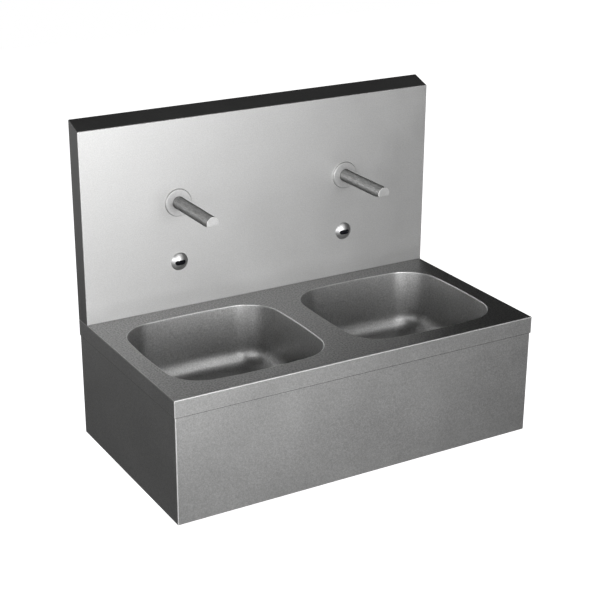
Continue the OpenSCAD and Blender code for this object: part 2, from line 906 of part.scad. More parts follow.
module trap_head() {
  color("whitesmoke")
    at_bowl()
      difference() {
        union() {
          translate([0, 0, head_low_z]) cylinder(r = collar_r, h = collar_top_z - head_low_z);
          translate([0, 0, -pipe_drop]) rotate([-90, 0, 0]) cylinder(r = boss_r, h = collar_r + boss_len);
          translate([0, 0, dip_low_z]) cylinder(r = dip_r, h = head_low_z - dip_low_z + slack);
        }
        translate([0, 0, waste_end_z - free_gap]) cylinder(r = waste_r + fit_gap, h = -waste_end_z);
        difference() {
          translate([0, 0, head_low_z - slack])
            cylinder(r = skirt_r, h = waste_end_z - free_gap - head_low_z - skirt_roof_t);
          translate([0, 0, dip_low_z]) cylinder(r = dip_r, h = -dip_low_z);
        }
        translate([0, 0, dip_low_z - slack]) cylinder(r = dip_r - dip_wall, h = -dip_low_z);
        translate([0, collar_r, -pipe_drop]) rotate([-90, 0, 0])
          cylinder(r = spigot_r + fit_gap, h = boss_len + slack);
        translate([0, dip_r + slack, -pipe_drop]) rotate([-90, 0, 0])
          cylinder(r = pipe_r - boss_step, h = collar_r);
      }
}

module trap_cup() {
  color("whitesmoke")
    at_bowl()
      rotate_extrude()
        polygon([
          [0, cup_low_z], [cup_r, cup_low_z], [cup_r, cup_top_z], [collar_r + fit_gap, cup_top_z],
          [collar_r + fit_gap, head_low_z - free_gap], [cup_r - cup_wall, head_low_z - cup_floor_t],
          [cup_r - cup_wall, cup_low_z + cup_floor_t], [0, cup_low_z + cup_floor_t]
        ]);
}

module trap_pipe() {
  start_y = bowl_y + collar_r + free_gap;
  free_y = bowl_y + collar_r + boss_len + spigot_gap;
  color("whitesmoke")
    translate([bowl_x, 0, -pipe_drop])
      rotate([90, 0, 0])
        difference() {
          union() {
            cylinder(r = pipe_r, h = -free_y);
            cylinder(r = spigot_r, h = -start_y);
          }
          translate([0, 0, -slack]) cylinder(r = pipe_r - pipe_wall, h = -start_y + 2 * slack);
        }
}

// Frame of the valve coil: z points away from the wall
module at_solenoid() {
  translate([line_x, line_y, solenoid_z]) rotate([90, 0, 0]) children();
}

module solenoid_body() {
  sleeve_top = coil_start + coil_len + sleeve_end;
  color("goldenrod")
    difference() {
      union() {
        translate([line_x, line_y, solenoid_z - solenoid_h / 2]) cylinder(r = solenoid_r, h = solenoid_h);
        at_solenoid() cylinder(r = solenoid_neck_r, h = coil_start - coil_seat_gap);
        at_solenoid() cylinder(r = sleeve_r, h = sleeve_top);
      }
      translate([line_x, line_y, solenoid_z - solenoid_h / 2 - slack])
        cylinder(r = flow_r, h = solenoid_h + 2 * slack);
      at_solenoid() translate([0, 0, seat_start])
        cylinder(r = sleeve_bore_r, h = plunger_len + plunger_travel + 2 * free_gap);
      at_solenoid() cylinder(r = pilot_r, h = seat_start + slack);
    }
}

module solenoid_coil() {
  color("dimgray")
    difference() {
      union() {
        at_solenoid() translate([0, 0, coil_start]) cylinder(r = coil_r, h = coil_len);
        translate([line_x, line_y - coil_cable_y + supply_y, solenoid_z]) rotate([0, -90, 0])
          cylinder(r = gland_r, h = coil_r + gland_len);
      }
      at_solenoid() translate([0, 0, coil_start - slack])
        cylinder(r = sleeve_r + free_gap, h = coil_len + 2 * slack);
    }
}

module plunger() {
  color("gray")
    at_solenoid()
      translate([0, 0, seat_start + free_gap])
        difference() {
          cylinder(r = plunger_r, h = plunger_len);
          translate([0, 0, plunger_len - pocket_depth]) cylinder(r = pocket_r, h = pocket_depth + slack);
        }
}

function spring_ring(angle, mean_r, rise) = [
  for (j = [0 : spring_sides - 1])
    let (
      turn = 360 * j / spring_sides,
      out = mean_r + spring_wire_r * cos(turn)
    )
    [out * cos(angle), out * sin(angle), rise + spring_wire_r * sin(turn)]
];

module plunger_spring() {
  mean_r = pocket_r - spring_wire_r - free_gap;
  low = seat_start + free_gap + plunger_len - pocket_depth + fit_gap + spring_wire_r;
  high = seat_start + plunger_len + plunger_travel + 2 * free_gap - fit_gap - spring_wire_r;
  rings = spring_turns * spring_steps;
  points = [
    for (i = [0 : rings])
      each spring_ring(360 * i / spring_steps, mean_r, low + (high - low) * i / rings)
  ];
  sides = [
    for (i = [0 : rings - 1], j = [0 : spring_sides - 1])
      let (a = i * spring_sides, b = (j + 1) % spring_sides)
      each [[a + j, a + b, a + spring_sides + b], [a + j, a + spring_sides + b, a + spring_sides + j]]
  ];
  cap_low = [for (j = [1 : spring_sides - 2]) [0, j + 1, j]];
  last = rings * spring_sides;
  cap_high = [for (j = [1 : spring_sides - 2]) [last, last + j, last + j + 1]];
  color("silver") at_solenoid() polyhedron(points = points, faces = concat(sides, cap_low, cap_high));
}

// Short lead from the coil, with one bend to the wall and one to the box
module coil_cable() {
  start_x = line_x - coil_r - gland_len;
  first_y = -coil_cable_y;
  far_x = start_x - coil_cable_run;
  last_y = line_y;
  color("dimgray") {
    translate([far_x, first_y, solenoid_z]) rotate([0, 90, 0])
      cylinder(r = cable_r, h = coil_cable_run, $fn = 24);
    translate([far_x, first_y + cable_turn_r, solenoid_z]) rotate([0, 0, 180])
      quarter_bend(cable_turn_r, cable_r);
    translate([far_x - cable_turn_r, first_y + cable_turn_r, solenoid_z])
      rotate([-90, 0, 0]) cylinder(r = cable_r, h = last_y - first_y - 2 * cable_turn_r, $fn = 24);
    translate([far_x - 2 * cable_turn_r, last_y - cable_turn_r, solenoid_z])
      quarter_bend(cable_turn_r, cable_r);
    translate([box_w / 2 + box_gland_len, last_y, solenoid_z])
      rotate([0, 90, 0])
        cylinder(r = cable_r, h = far_x - 2 * cable_turn_r - box_w / 2 - box_gland_len, $fn = 24);
  }
}

module stop_valve() {
  color("goldenrod")
    difference() {
      union() {
        translate([line_x, line_y, stop_z]) cylinder(r = stop_neck_r, h = stop_top_z - stop_z);
        translate([line_x, line_y, stop_top_z - stop_hex_h]) hex_bar(stop_hex_flats, stop_hex_h);
        translate([line_x, line_y, stop_z]) sphere(r = stop_sphere_r);
        translate([line_x, line_y, stop_end_z + inlet_len]) hex_bar(stop_hex_flats, stop_hex_h);
        translate([line_x, line_y, stop_end_z]) cylinder(r = inlet_r, h = stop_z - stop_end_z);
        translate([line_x, line_y, stop_z]) rotate([90, 0, 0]) cylinder(r = stem_boss_r, h = stem_boss_len);
      }
      translate([line_x, line_y, stop_end_z - slack])
        cylinder(r = stop_bore_r, h = stop_top_z - stop_end_z + 2 * slack);
      translate([line_x, line_y, stop_z]) sphere(r = ball_r + free_gap);
      translate([line_x, line_y, stop_z]) rotate([90, 0, 0])
        cylinder(r = stem_r + running_gap, h = stem_boss_len + slack);
    }
}

module stop_ball() {
  color("silver")
    translate([line_x, line_y, stop_z])
      difference() {
        union() {
          sphere(r = ball_r);
          rotate([90, 0, 0]) cylinder(r = stem_r, h = stem_boss_len + lever_t + free_gap + stem_end);
        }
        translate([0, 0, -ball_r - slack]) cylinder(r = stop_bore_r, h = 2 * ball_r + 2 * slack);
      }
}

module stop_lever() {
  color("royalblue")
    translate([line_x, line_y - stem_boss_len - free_gap, stop_z])
      rotate([90, 0, 0])
        difference() {
          union() {
            cylinder(r = hub_r, h = lever_t);
            translate([-lever_w / 2, -lever_len + lever_w / 2, 0])
              cube([lever_w, lever_len - lever_w / 2, lever_t]);
            translate([0, -lever_len + lever_w / 2, 0]) cylinder(r = lever_w / 2, h = lever_t);
          }
          translate([0, 0, -slack]) cylinder(r = stem_r + running_gap, h = lever_t + 2 * slack);
        }
}

module control_box() {
  low_z = box_top_z - box_h;
  x = box_w / 2;
  down_y = panel_y + barrel_len + gland_len + cable_bend_r;
  color("lightgray") {
    difference() {
      slab([-x, box_front_y, low_z], [x, -sheet_t, box_top_z]);
      slab(
        [-x + box_wall, box_front_y - slack, low_z + box_wall],
        [x - box_wall, -sheet_t - box_wall, box_top_z - box_wall]
      );
    }
    both_sides() {
      translate([x, down_y, cable_run_z]) rotate([0, 90, 0]) cylinder(r = gland_r, h = box_gland_len);
      translate([x, line_y, solenoid_z]) rotate([0, 90, 0]) cylinder(r = gland_r, h = box_gland_len);
      for (z = [-board_margin, -board_h + board_margin])
        translate([x - board_margin - post_r, -sheet_t - box_wall, box_top_z - box_wall - board_drop + z])
          rotate([90, 0, 0]) cylinder(r = post_r, h = post_len);
    }
  }
}

module control_lid() {
  low_z = box_top_z - box_h;
  x = box_w / 2;
  inner = box_wall + fit_gap;
  color("lightgray") {
    slab([-x, box_front_y - lid_t, low_z], [x, box_front_y, box_top_z]);
    difference() {
      slab([-x + inner, box_front_y, low_z + inner], [x - inner, box_front_y + lid_lip, box_top_z - inner]);
      slab(
        [-x + inner + lid_lip_wall, box_front_y - slack / 2, low_z + inner + lid_lip_wall],
        [x - inner - lid_lip_wall, box_front_y + lid_lip + slack, box_top_z - inner - lid_lip_wall]
      );
    }
  }
}

module circuit_board() {
  back_y = -sheet_t - box_wall - post_len;
  x = box_w / 2 - board_margin;
  top_z = box_top_z - box_wall - board_drop;
  board_y = back_y - board_t;
  low_z = top_z - board_h + terminal_lift;
  color("darkgreen") {
    slab([-x, board_y, top_z - board_h], [x, back_y, top_z]);
    slab(
      [chip_x - chip_w / 2, board_y - chip_t, top_z - chip_drop - chip_h],
      [chip_x + chip_w / 2, board_y, top_z - chip_drop]
    );
    for (start = [-x + terminal_inset, x - terminal_inset - terminal_w])
      slab([start, board_y - terminal_t, low_z], [start + terminal_w, board_y, low_z + terminal_h]);
  }
}

module battery_pack() {
  low_z = box_top_z - box_h + box_wall;
  x = box_w / 2 - battery_margin;
  back_y = -sheet_t - box_wall - battery_gap;
  color("darkslategray") slab([-x, back_y - battery_d, low_z], [x, back_y, low_z + battery_h]);
}

deck();
splashback();
left() at_bowl() bowl();  // left_bowl
at_bowl() bowl();  // right_bowl
front_rail();
apron();
both_sides() apron_screw();  // apron_screws
left() wall_bracket();  // left_wall_bracket
wall_bracket();  // right_wall_bracket
both_sides() deck_nut_pair();  // deck_nuts
left() spout_tube();  // left_spout_tube
spout_tube();  // right_spout_tube
left() spout_flange();  // left_spout_flange
spout_flange();  // right_spout_flange
left() spout_outlet();  // left_spout_outlet
spout_outlet();  // right_spout_outlet
both_sides() spout_nut();  // spout_nuts
left() spout_hose();  // left_spout_hose
spout_hose();  // right_spout_hose
left() sensor_dome();  // left_sensor_dome
sensor_dome();  // right_sensor_dome
left() sensor_window();  // left_sensor_window
sensor_window();  // right_sensor_window
both_sides() sensor_nut();  // sensor_nuts
left() sensor_cable();  // left_sensor_cable
sensor_cable();  // right_sensor_cable
left() waste_body();  // left_waste_body
waste_body();  // right_waste_body
left() strainer();  // left_strainer
strainer();  // right_strainer
both_sides() strainer_screw();  // strainer_screws
both_sides() waste_gasket();  // waste_gaskets
both_sides() waste_nut();  // waste_nuts
left() trap_head();  // left_trap_head
trap_head();  // right_trap_head
left() trap_cup();  // left_trap_cup
trap_cup();  // right_trap_cup
left() trap_pipe();  // left_trap_pipe
trap_pipe();  // right_trap_pipe
left() solenoid_body();  // left_solenoid_body
solenoid_body();  // right_solenoid_body
left() solenoid_coil();  // left_solenoid_coil
solenoid_coil();  // right_solenoid_coil
left() plunger();  // left_plunger
plunger();  // right_plunger
left() plunger_spring();  // left_plunger_spring
plunger_spring();  // right_plunger_spring
left() coil_cable();  // left_coil_cable
coil_cable();  // right_coil_cable
left() stop_valve();  // left_stop_valve
stop_valve();  // right_stop_valve
left() stop_ball();  // left_stop_ball
stop_ball();  // right_stop_ball
left() stop_lever();  // left_stop_lever
stop_lever();  // right_stop_lever
control_box();
control_lid();
circuit_board();
battery_pack();
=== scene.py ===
import json
import math
import bmesh
import bpy
from mathutils import Matrix, Vector


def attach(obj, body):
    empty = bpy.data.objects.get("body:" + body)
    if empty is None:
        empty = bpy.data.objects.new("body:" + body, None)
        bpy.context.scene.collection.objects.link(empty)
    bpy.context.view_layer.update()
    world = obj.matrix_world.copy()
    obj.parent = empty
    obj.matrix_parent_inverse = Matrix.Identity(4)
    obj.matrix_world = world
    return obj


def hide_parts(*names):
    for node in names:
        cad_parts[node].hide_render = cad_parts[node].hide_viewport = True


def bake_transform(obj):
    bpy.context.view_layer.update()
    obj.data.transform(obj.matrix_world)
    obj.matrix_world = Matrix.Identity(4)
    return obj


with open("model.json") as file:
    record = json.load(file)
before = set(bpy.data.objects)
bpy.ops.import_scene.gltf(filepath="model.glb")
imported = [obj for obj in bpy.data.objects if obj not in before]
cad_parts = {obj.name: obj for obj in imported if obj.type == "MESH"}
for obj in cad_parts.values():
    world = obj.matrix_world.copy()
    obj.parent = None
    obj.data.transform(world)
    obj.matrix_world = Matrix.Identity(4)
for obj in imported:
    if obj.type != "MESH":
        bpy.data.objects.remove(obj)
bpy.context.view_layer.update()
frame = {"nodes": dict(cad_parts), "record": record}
cadNodes = frame["nodes"]
sides = {"left": -1, "right": 1}
print("frame loaded")


def camelName(name):
    first, *rest = name.split("_")
    return first + "".join(word.capitalize() for word in rest)


def addObject(name, data):
    obj = bpy.data.objects.new(name, data)
    bpy.context.scene.collection.objects.link(obj)
    return obj


camera = {
    "place": (-1.5473, -2.8632, 1.2468),
    "heading": -30.321,     # degrees, 0 looks along +Y
    "drop": 21.602,         # degrees below the horizon
    "roll": 0.304,
    "lens": 87.01,
    "sensor": 36.0,
}


def makeCamera():
    data = bpy.data.cameras.new("photoCamera")
    data.lens = camera["lens"]
    data.sensor_width = camera["sensor"]
    obj = addObject("photoCamera", data)
    turn = Matrix.Rotation(math.radians(camera["heading"]), 4, "Z")
    turn = turn @ Matrix.Rotation(math.radians(90 - camera["drop"]), 4, "X")
    turn = turn @ Matrix.Rotation(math.radians(camera["roll"]), 4, "Z")
    obj.matrix_world = Matrix.Translation(camera["place"]) @ turn
    bpy.context.scene.camera = obj


makeCamera()


class Wire:     # a shader socket that can be used in sums
    def __init__(self, tree, socket=None):
        self.tree = tree
        self.socket = socket

    def node(self, kind, settings, sockets, output=0):
        made = self.tree.nodes.new("ShaderNode" + kind)
        for key, value in settings.items():
            setattr(made, key, value)
        for key, value in sockets.items():
            if isinstance(value, Wire):
                self.tree.links.new(value.socket, made.inputs[key])
            else:
                made.inputs[key].default_value = value
        return Wire(self.tree, made.outputs[output])

    def sum(self, operation, first, second=0.0, clamp=False):
        return self.node("Math", {"operation": operation, "use_clamp": clamp}, {0: first, 1: second})

    def blend(self, factor, first, second):
        return self.node("Mix", {"data_type": "RGBA"}, {0: factor, 6: first, 7: second}, 2)

    def place(self):        # Object coordinates
        return self.node("TexCoord", {}, {}, 3)

    def noise(self, place, scale, detail, rough=0.5):
        sockets = {"Vector": place, "Scale": scale, "Detail": detail, "Roughness": rough}
        return self.node("TexNoise", {}, sockets)

    def bump(self, height, strength, distance):
        return self.node("Bump", {}, {"Strength": strength, "Distance": distance, "Height": height})

    def __add__(self, other):
        return self.sum("ADD", self, other)

    def __radd__(self, other):
        return self.sum("ADD", other, self)

    def __sub__(self, other):
        return self.sum("SUBTRACT", self, other)

    def __rsub__(self, other):
        return self.sum("SUBTRACT", other, self)

    def __mul__(self, other):
        return self.sum("MULTIPLY", self, other)

    def __rmul__(self, other):
        return self.sum("MULTIPLY", other, self)

    def __gt__(self, other):
        return self.sum("GREATER_THAN", self, other)

    def __lt__(self, other):
        return self.sum("LESS_THAN", self, other)


def shade(level, tint=(1.0, 1.0, 1.0)):
    return (level * tint[0], level * tint[1], level * tint[2], 1.0)


def startFinish(name):
    material = bpy.data.materials.new(name)
    material.use_nodes = True
    tree = material.node_tree
    tree.nodes.clear()
    out = tree.nodes.new("ShaderNodeOutputMaterial")
    return material, Wire(tree), out


def closeFinish(wire, out, sockets):
    surface = wire.node("BsdfPrincipled", {}, sockets)
    wire.tree.links.new(surface.socket, out.inputs["Surface"])


# Sheet steel: a fine satin speckle, faint rubbing along the sheet, cloudy roughness and a few
# hair scratches; rimLevel darkens it where it is seen edge on, and a face attribute
# paints highlights and shade into its colour
sheetRun = (6.0, 420.0, 420.0)
tubeRun = (450.0, 60.0, 450.0)
steels = {
    "satinPanel": {"level": 0.60, "rough": 0.53, "speckle": 0.16, "cloud": 0.04, "rub": 0.03,
                   "bump": 0.10, "grain": 420.0, "run": sheetRun},
    # a darker copy of the panel steel: painted shade on the splashback's sides and top
    "panelEdge": {"level": 0.33, "rough": 0.50, "speckle": 0.16, "cloud": 0.04, "rub": 0.03,
                  "bump": 0.10, "grain": 420.0, "run": sheetRun},
    "brushedSheet": {"level": 0.50, "rough": 0.47, "speckle": 0.34, "cloud": 0.05, "rub": 0.04,
                     "bump": 0.14, "grain": 430.0, "run": sheetRun},
    # coarser grain, and a darker level that paints shade on the deck's top
    "deckTop": {"level": 0.30, "rough": 0.46, "speckle": 0.80, "cloud": 0.05, "rub": 0.05,
                "bump": 0.24, "grain": 250.0, "run": sheetRun},
    "bowlSteel": {"level": 0.54, "rough": 0.40, "speckle": 0.38, "cloud": 0.05, "rub": 0.03,
                  "bump": 0.14, "grain": 300.0, "run": sheetRun},
    "satinSteel": {"level": 0.34, "rough": 0.33, "speckle": 0.40, "cloud": 0.04, "rub": 0.80,
                   "bump": 0.16, "grain": 420.0, "run": tubeRun, "rimLevel": 0.20},
}
steelTint = (1.0, 1.0, 0.995)
wear = {
    "span": 0.4,        # how far speckle, cloud and rubbing can move the level, as a share of it
    "brightLevel": 0.90, "bright": 0.85,        # painted highlights on folds, bowl lips and the spout tips
    "darkLevel": 0.05, "dark": 0.9,     # painted shade on hems, the splashback's foot and bowl floors
    "scratchAbove": 0.76, "scratchCloud": 0.55,     # higher for fewer scratches
    "scratchTurn": (0.4, 0.3, 0.5), "scratchRun": (9.0, 900.0, 900.0),
    "cloudScale": 7.0, "depth": 0.0004, "roughSpan": 0.10, "foldRough": 0.12,
}


def makeSteel(name, look):
    material, wire, out = startFinish(name)
    place = wire.place()
    speckle = wire.noise(place, look["grain"], 1.0)
    cloud = wire.noise(place, wear["cloudScale"], 4.0, 0.6)
    along = wire.node("Mapping", {}, {"Vector": place, "Scale": look["run"]})
    rub = wire.noise(along, 1.0, 2.0, 0.7)
    slant = {"Vector": place, "Rotation": wear["scratchTurn"], "Scale": wear["scratchRun"]}
    hair = wire.noise(wire.node("Mapping", {}, slant), 1.0, 1.0, 0.4)
    # a face attribute: above 0 paints a highlight into the colour, below 0 paints shade
    fold = wire.node("Attribute", {"attribute_name": "fold"}, {}, 2)
    scratch = (hair > wear["scratchAbove"]) * (cloud > wear["scratchCloud"])
    wander = (speckle - 0.5) * look["speckle"] + (cloud - 0.5) * look["cloud"] + (rub - 0.5) * look["rub"]
    tone = wire.sum("ADD", wander * (1 / wear["span"]), 0.5, clamp=True)
    low = shade(look["level"] * (1 - wear["span"]), steelTint)
    high = shade(look["level"] * (1 + wear["span"]), steelTint)
    colour = wire.blend(tone, low, high)
    paintedHighlight = wire.sum("MAXIMUM", fold, 0.0)
    paintedShade = wire.sum("MAXIMUM", 0.0 - fold, 0.0)
    colour = wire.blend(paintedHighlight * wear["bright"], colour, shade(wear["brightLevel"], steelTint))
    colour = wire.blend(paintedShade * wear["dark"], colour, shade(wear["darkLevel"], steelTint))
    rough = look["rough"] + ((cloud - 0.5) + (speckle - 0.5) + (rub - 0.5) * 0.6) * wear["roughSpan"]
    rough = rough - scratch * 0.06 + paintedHighlight * wear["foldRough"]
    bump = wire.bump(speckle * 0.6 + rub * 0.4 - scratch * 0.5, look["bump"], wear["depth"])
    sockets = {"Base Color": colour, "Metallic": 1.0, "Roughness": rough, "Normal": bump}
    sockets["Specular Tint"] = shade(look.get("rimLevel", 1.0))
    closeFinish(wire, out, sockets)
    return material


# Turned, cast and plated metal
metals = {
    "zincSteel": {"level": 0.52, "tint": (0.97, 1.0, 1.04), "rough": 0.46,
                  "patch": 90.0, "vary": 0.16, "bump": 0.10},
    "domeChrome": {"level": 0.55, "tint": (1.0, 1.0, 1.0), "rough": 0.44,
                   "patch": 40.0, "vary": 0.04, "bump": 0.02},
    "chrome": {"level": 0.80, "tint": (0.99, 1.0, 1.01), "rough": 0.07,
               "patch": 12.0, "vary": 0.04, "bump": 0.01},
    "brass": {"level": 0.72, "tint": (1.0, 0.80, 0.46), "rough": 0.33,
              "patch": 60.0, "vary": 0.14, "bump": 0.12},
}
metalGrain = {"fineScale": 900.0, "smudgeScale": 30.0, "depth": 0.0003}


def makeMetal(name, look):
    material, wire, out = startFinish(name)
    place = wire.place()
    patch = wire.noise(place, look["patch"], 4.0, 0.6)
    fine = wire.noise(place, metalGrain["fineScale"], 2.0)
    smudge = wire.noise(place, metalGrain["smudgeScale"], 3.0)
    tone = wire.sum("ADD", (patch - 0.5) * 1.6, 0.5, clamp=True)
    low = shade(look["level"] * (1 - look["vary"]), look["tint"])
    high = shade(look["level"] * (1 + look["vary"]), look["tint"])
    colour = wire.blend(tone, low, high)
    rough = look["rough"] * (0.7 + smudge * 0.6) + (fine - 0.5) * look["bump"] * 0.4
    bump = wire.bump(patch * 0.5 + fine * 0.5, look["bump"], metalGrain["depth"])
    closeFinish(wire, out, {"Base Color": colour, "Metallic": 1.0, "Roughness": rough, "Normal": bump})
    return material


# Moulded plastic, rubber and glass
softs = {
    "darkGlass": {"colour": (0.006, 0.006, 0.008), "rough": 0.30, "grain": 300.0, "bump": 0.0,
                  "shine": 0.1},
    "rubber": {"colour": (0.022, 0.022, 0.022), "rough": 0.72, "grain": 700.0, "bump": 0.25},
    "cableSheath": {"colour": (0.030, 0.030, 0.033), "rough": 0.45, "grain": 500.0, "bump": 0.12},
    "greyPlastic": {"colour": (0.46, 0.47, 0.48), "rough": 0.48, "grain": 1100.0, "bump": 0.22},
    "darkPlastic": {"colour": (0.035, 0.035, 0.038), "rough": 0.42, "grain": 900.0, "bump": 0.18},
    "bluePlastic": {"colour": (0.030, 0.110, 0.420), "rough": 0.30, "grain": 400.0, "bump": 0.08,
                    "coat": 0.3},
}
softGrain = {"cloudScale": 18.0, "depth": 0.0002, "coatRough": 0.05}


def makeSoft(name, look):
    material, wire, out = startFinish(name)
    place = wire.place()
    grain = wire.noise(place, look["grain"], 2.0, 0.6)
    cloud = wire.noise(place, softGrain["cloudScale"], 3.0, 0.6)
    tone = wire.sum("ADD", (cloud - 0.5) * 1.2 + (grain - 0.5) * 0.5, 0.5, clamp=True)
    colour = wire.blend(tone, shade(0.86, look["colour"]), shade(1.14, look["colour"]))
    rough = look["rough"] + (cloud - 0.5) * 0.14 + (grain - 0.5) * 0.08
    bump = wire.bump(grain, look["bump"], softGrain["depth"])
    sockets = {"Base Color": colour, "Roughness": rough, "Normal": bump}
    sockets["Coat Roughness"] = softGrain["coatRough"]
    sockets["Coat Weight"] = look.get("coat", 0.0)
    sockets["Specular IOR Level"] = look.get("shine", 0.5)
    closeFinish(wire, out, sockets)
    return material


board = {
    "face": -0.0099,        # how far from the wall the green face lies; chip and terminals stand off it
    "green": (0.012, 0.13, 0.045, 1.0), "track": (0.05, 0.32, 0.11, 1.0),
    "raised": (0.03, 0.03, 0.032, 1.0),
    "pitch": 60.0, "trackScale": 4.0, "trackWide": 0.03,
    "speckScale": 500.0, "rough": 0.35, "roughSpan": 0.15, "bump": 0.15, "depth": 0.0002,
}


def makeBoard():        # a green board with paler tracks and a dark chip and terminals
    material, wire, out = startFinish("greenBoard")
    place = wire.place()
    depth = wire.node("SeparateXYZ", {}, {"Vector": place}, 1)
    pitch = (board["pitch"], board["pitch"], board["pitch"])
    upright = wire.node("Mapping", {}, {"Vector": place, "Rotation": (math.pi / 2, 0, 0), "Scale": pitch})
    sockets = {"Vector": upright, "Scale": board["trackScale"], "Mortar Size": board["trackWide"]}
    sockets.update({"Color1": shade(0.0), "Color2": shade(0.0), "Mortar": shade(1.0)})
    tracks = wire.node("TexBrick", {}, sockets, 1)
    speck = wire.noise(place, board["speckScale"], 2.0)
    flat = wire.blend(tracks, board["green"], board["track"])
    colour = wire.blend(depth < board["face"], flat, board["raised"])
    rough = board["rough"] + speck * board["roughSpan"]
    bump = wire.bump(tracks + speck * 0.2, board["bump"], board["depth"])
    closeFinish(wire, out, {"Base Color": colour, "Roughness": rough, "Normal": bump})
    return material


braid = {
    "strands": 10.0, "perMetre": 210.0,     # strands round the hose, crossings along it
    "wires": 4.0,       # in a strand
    # low is painted shade in the weave's hollows, high the ridges
    "low": 0.10, "high": 0.62, "tint": (0.98, 1.0, 1.02), "rough": 0.46, "bump": 0.6, "depth": 0.0005,
    "grimeScale": 45.0,
}


def strand(wire, lie):      # the ridge of a strand, and the wires in it
    part = wire.sum("FRACT", lie)
    ridge = wire.sum("SINE", part * math.pi)
    wires = wire.sum("ABSOLUTE", wire.sum("SINE", part * (math.pi * braid["wires"])))
    return ridge, 0.75 + wires * 0.25


def makeBraid():        # woven wire, laid out on the hose's own map
    material, wire, out = startFinish("braidedHose")
    lie = wire.node("UVMap", {"uv_map": "along"}, {})
    around = wire.node("SeparateXYZ", {}, {"Vector": lie}, 0) * braid["strands"]
    along = wire.node("SeparateXYZ", {}, {"Vector": lie}, 1) * braid["perMetre"]
    first = around + along
    second = around - along
    cell = wire.sum("FLOOR", first) + wire.sum("FLOOR", second)
    over = wire.sum("FRACT", cell * 0.5) > 0.25
    firstRidge, firstWires = strand(wire, first)
    secondRidge, secondWires = strand(wire, second)
    firstShape = firstRidge * (0.6 + secondRidge * 0.4) * firstWires
    secondShape = secondRidge * (0.6 + firstRidge * 0.4) * secondWires
    height = firstShape * over + secondShape * (1 - over)
    grime = wire.noise(wire.place(), braid["grimeScale"], 3.0)
    # the tone paints shade into the weave: darker in the hollows between strands and wires, lighter on the
    # ridges
    tone = wire.sum("ADD", height * (0.8 + grime * 0.4), 0.0, clamp=True)
    colour = wire.blend(tone, shade(braid["low"]), shade(braid["high"], braid["tint"]))
    rough = braid["rough"] - height * 0.12 + (grime - 0.5) * 0.1
    bump = wire.bump(height, braid["bump"], braid["depth"])
    closeFinish(wire, out, {"Base Color": colour, "Metallic": 1.0, "Roughness": rough, "Normal": bump})
    return material


finishes = {"greenBoard": makeBoard(), "braidedHose": makeBraid()}
for looks, make in ((steels, makeSteel), (metals, makeMetal), (softs, makeSoft)):
    for name, look in looks.items():
        finishes[name] = make(name, look)
print("finishes made")

nodeSlot = {part["node"]: part["material_slot"] for part in frame["record"]["subparts"]}
for name, obj in cadNodes.items():      # each slot of the record has a finish of its own name
    obj.data.materials.clear()
    obj.data.materials.append(finishes[camelName(nodeSlot[name])])
print("CAD pieces finished")

nodeBody = {}
for body, held in frame["record"]["behaviour"]["bodies"].items():
    for name in held:
        nodeBody[name] = body


close = 0.001       # picking by place, to a millimetre
exact = 0.00001     # or to a hundredth of one
past = 0.001        # how far a cutter reaches beyond what it cuts
through = 0.003     # and how far into it, to get through a sheet
sliver = 0.000002       # faces narrower than this are dropped
welded = 0.000005       # vertices of a copied CAD mesh closer than this are one
foldArea = 0.003        # the largest face that can be part of a fold, square metres
foldSlant = 0.985       # a face along an axis is no part of one


def clearPick():
    if bpy.context.mode != "OBJECT":
        bpy.ops.object.mode_set(mode="OBJECT")
    bpy.ops.object.select_all(action="DESELECT")


def activate(obj):
    clearPick()
    obj.select_set(True)
    bpy.context.view_layer.objects.active = obj


def edit(obj):
    activate(obj)
    bpy.ops.object.mode_set(mode="EDIT")
    bpy.ops.mesh.select_mode(type="VERT")
    bpy.ops.mesh.select_all(action="SELECT")


def middle(edge):
    return (edge.verts[0].co + edge.verts[1].co) / 2


def pick(kind, test):       # in edit mode, selects just what passes the test
    bpy.ops.mesh.select_mode(type=kind)
    bpy.ops.mesh.select_all(action="DESELECT")
    mesh = bpy.context.object.data
    held = bmesh.from_edit_mesh(mesh)
    for item in {"VERT": held.verts, "EDGE": held.edges, "FACE": held.faces}[kind]:
        if test(item):
            item.select_set(True)
    bmesh.update_edit_mesh(mesh)


def useModifier(obj, kind, settings):
    activate(obj)
    modifier = obj.modifiers.new(kind.lower(), kind)
    for key, value in settings.items():
        setattr(modifier, key, value)
    bpy.ops.object.modifier_apply(modifier=modifier.name)


def cutWith(obj, tool, operation="DIFFERENCE"):
    useModifier(obj, "BOOLEAN", {"object": tool, "operation": operation, "solver": "EXACT"})
    bpy.data.objects.remove(tool)


def softEdges(obj, width, steps=2, angle=35):
    settings = {"width": width, "segments": steps, "use_clamp_overlap": True}
    settings.update({"limit_method": "ANGLE", "angle_limit": math.radians(angle)})
    useModifier(obj, "BEVEL", settings)


def dropSlivers(obj, width):        # closes the thin faces that a cut can leave
    edit(obj)
    bpy.ops.mesh.dissolve_degenerate(threshold=width)
    clearPick()


def smooth(obj, angle=30, weighted=True):
    dropSlivers(obj, sliver)
    activate(obj)
    bpy.ops.object.shade_smooth_by_angle(angle=math.radians(angle))
    if weighted:
        useModifier(obj, "WEIGHTED_NORMAL", {"weight": 80, "keep_sharp": True})


def refinish(obj, finish, test):        # a second finish on the faces that pass the test
    obj.data.materials.append(finishes[finish])
    for face in obj.data.polygons:
        if test(face):
            face.material_index = 1


def markPaintedLight(obj, amount):      # amount(face) above 0 paints a highlight on the face, below 0 paints shade
    mark = obj.data.attributes.new("fold", "FLOAT", "FACE")
    for face, spot in zip(obj.data.polygons, mark.data):
        spot.value = amount(face)


def onFold(face):
    return face.area < foldArea and max(abs(part) for part in face.normal) < foldSlant


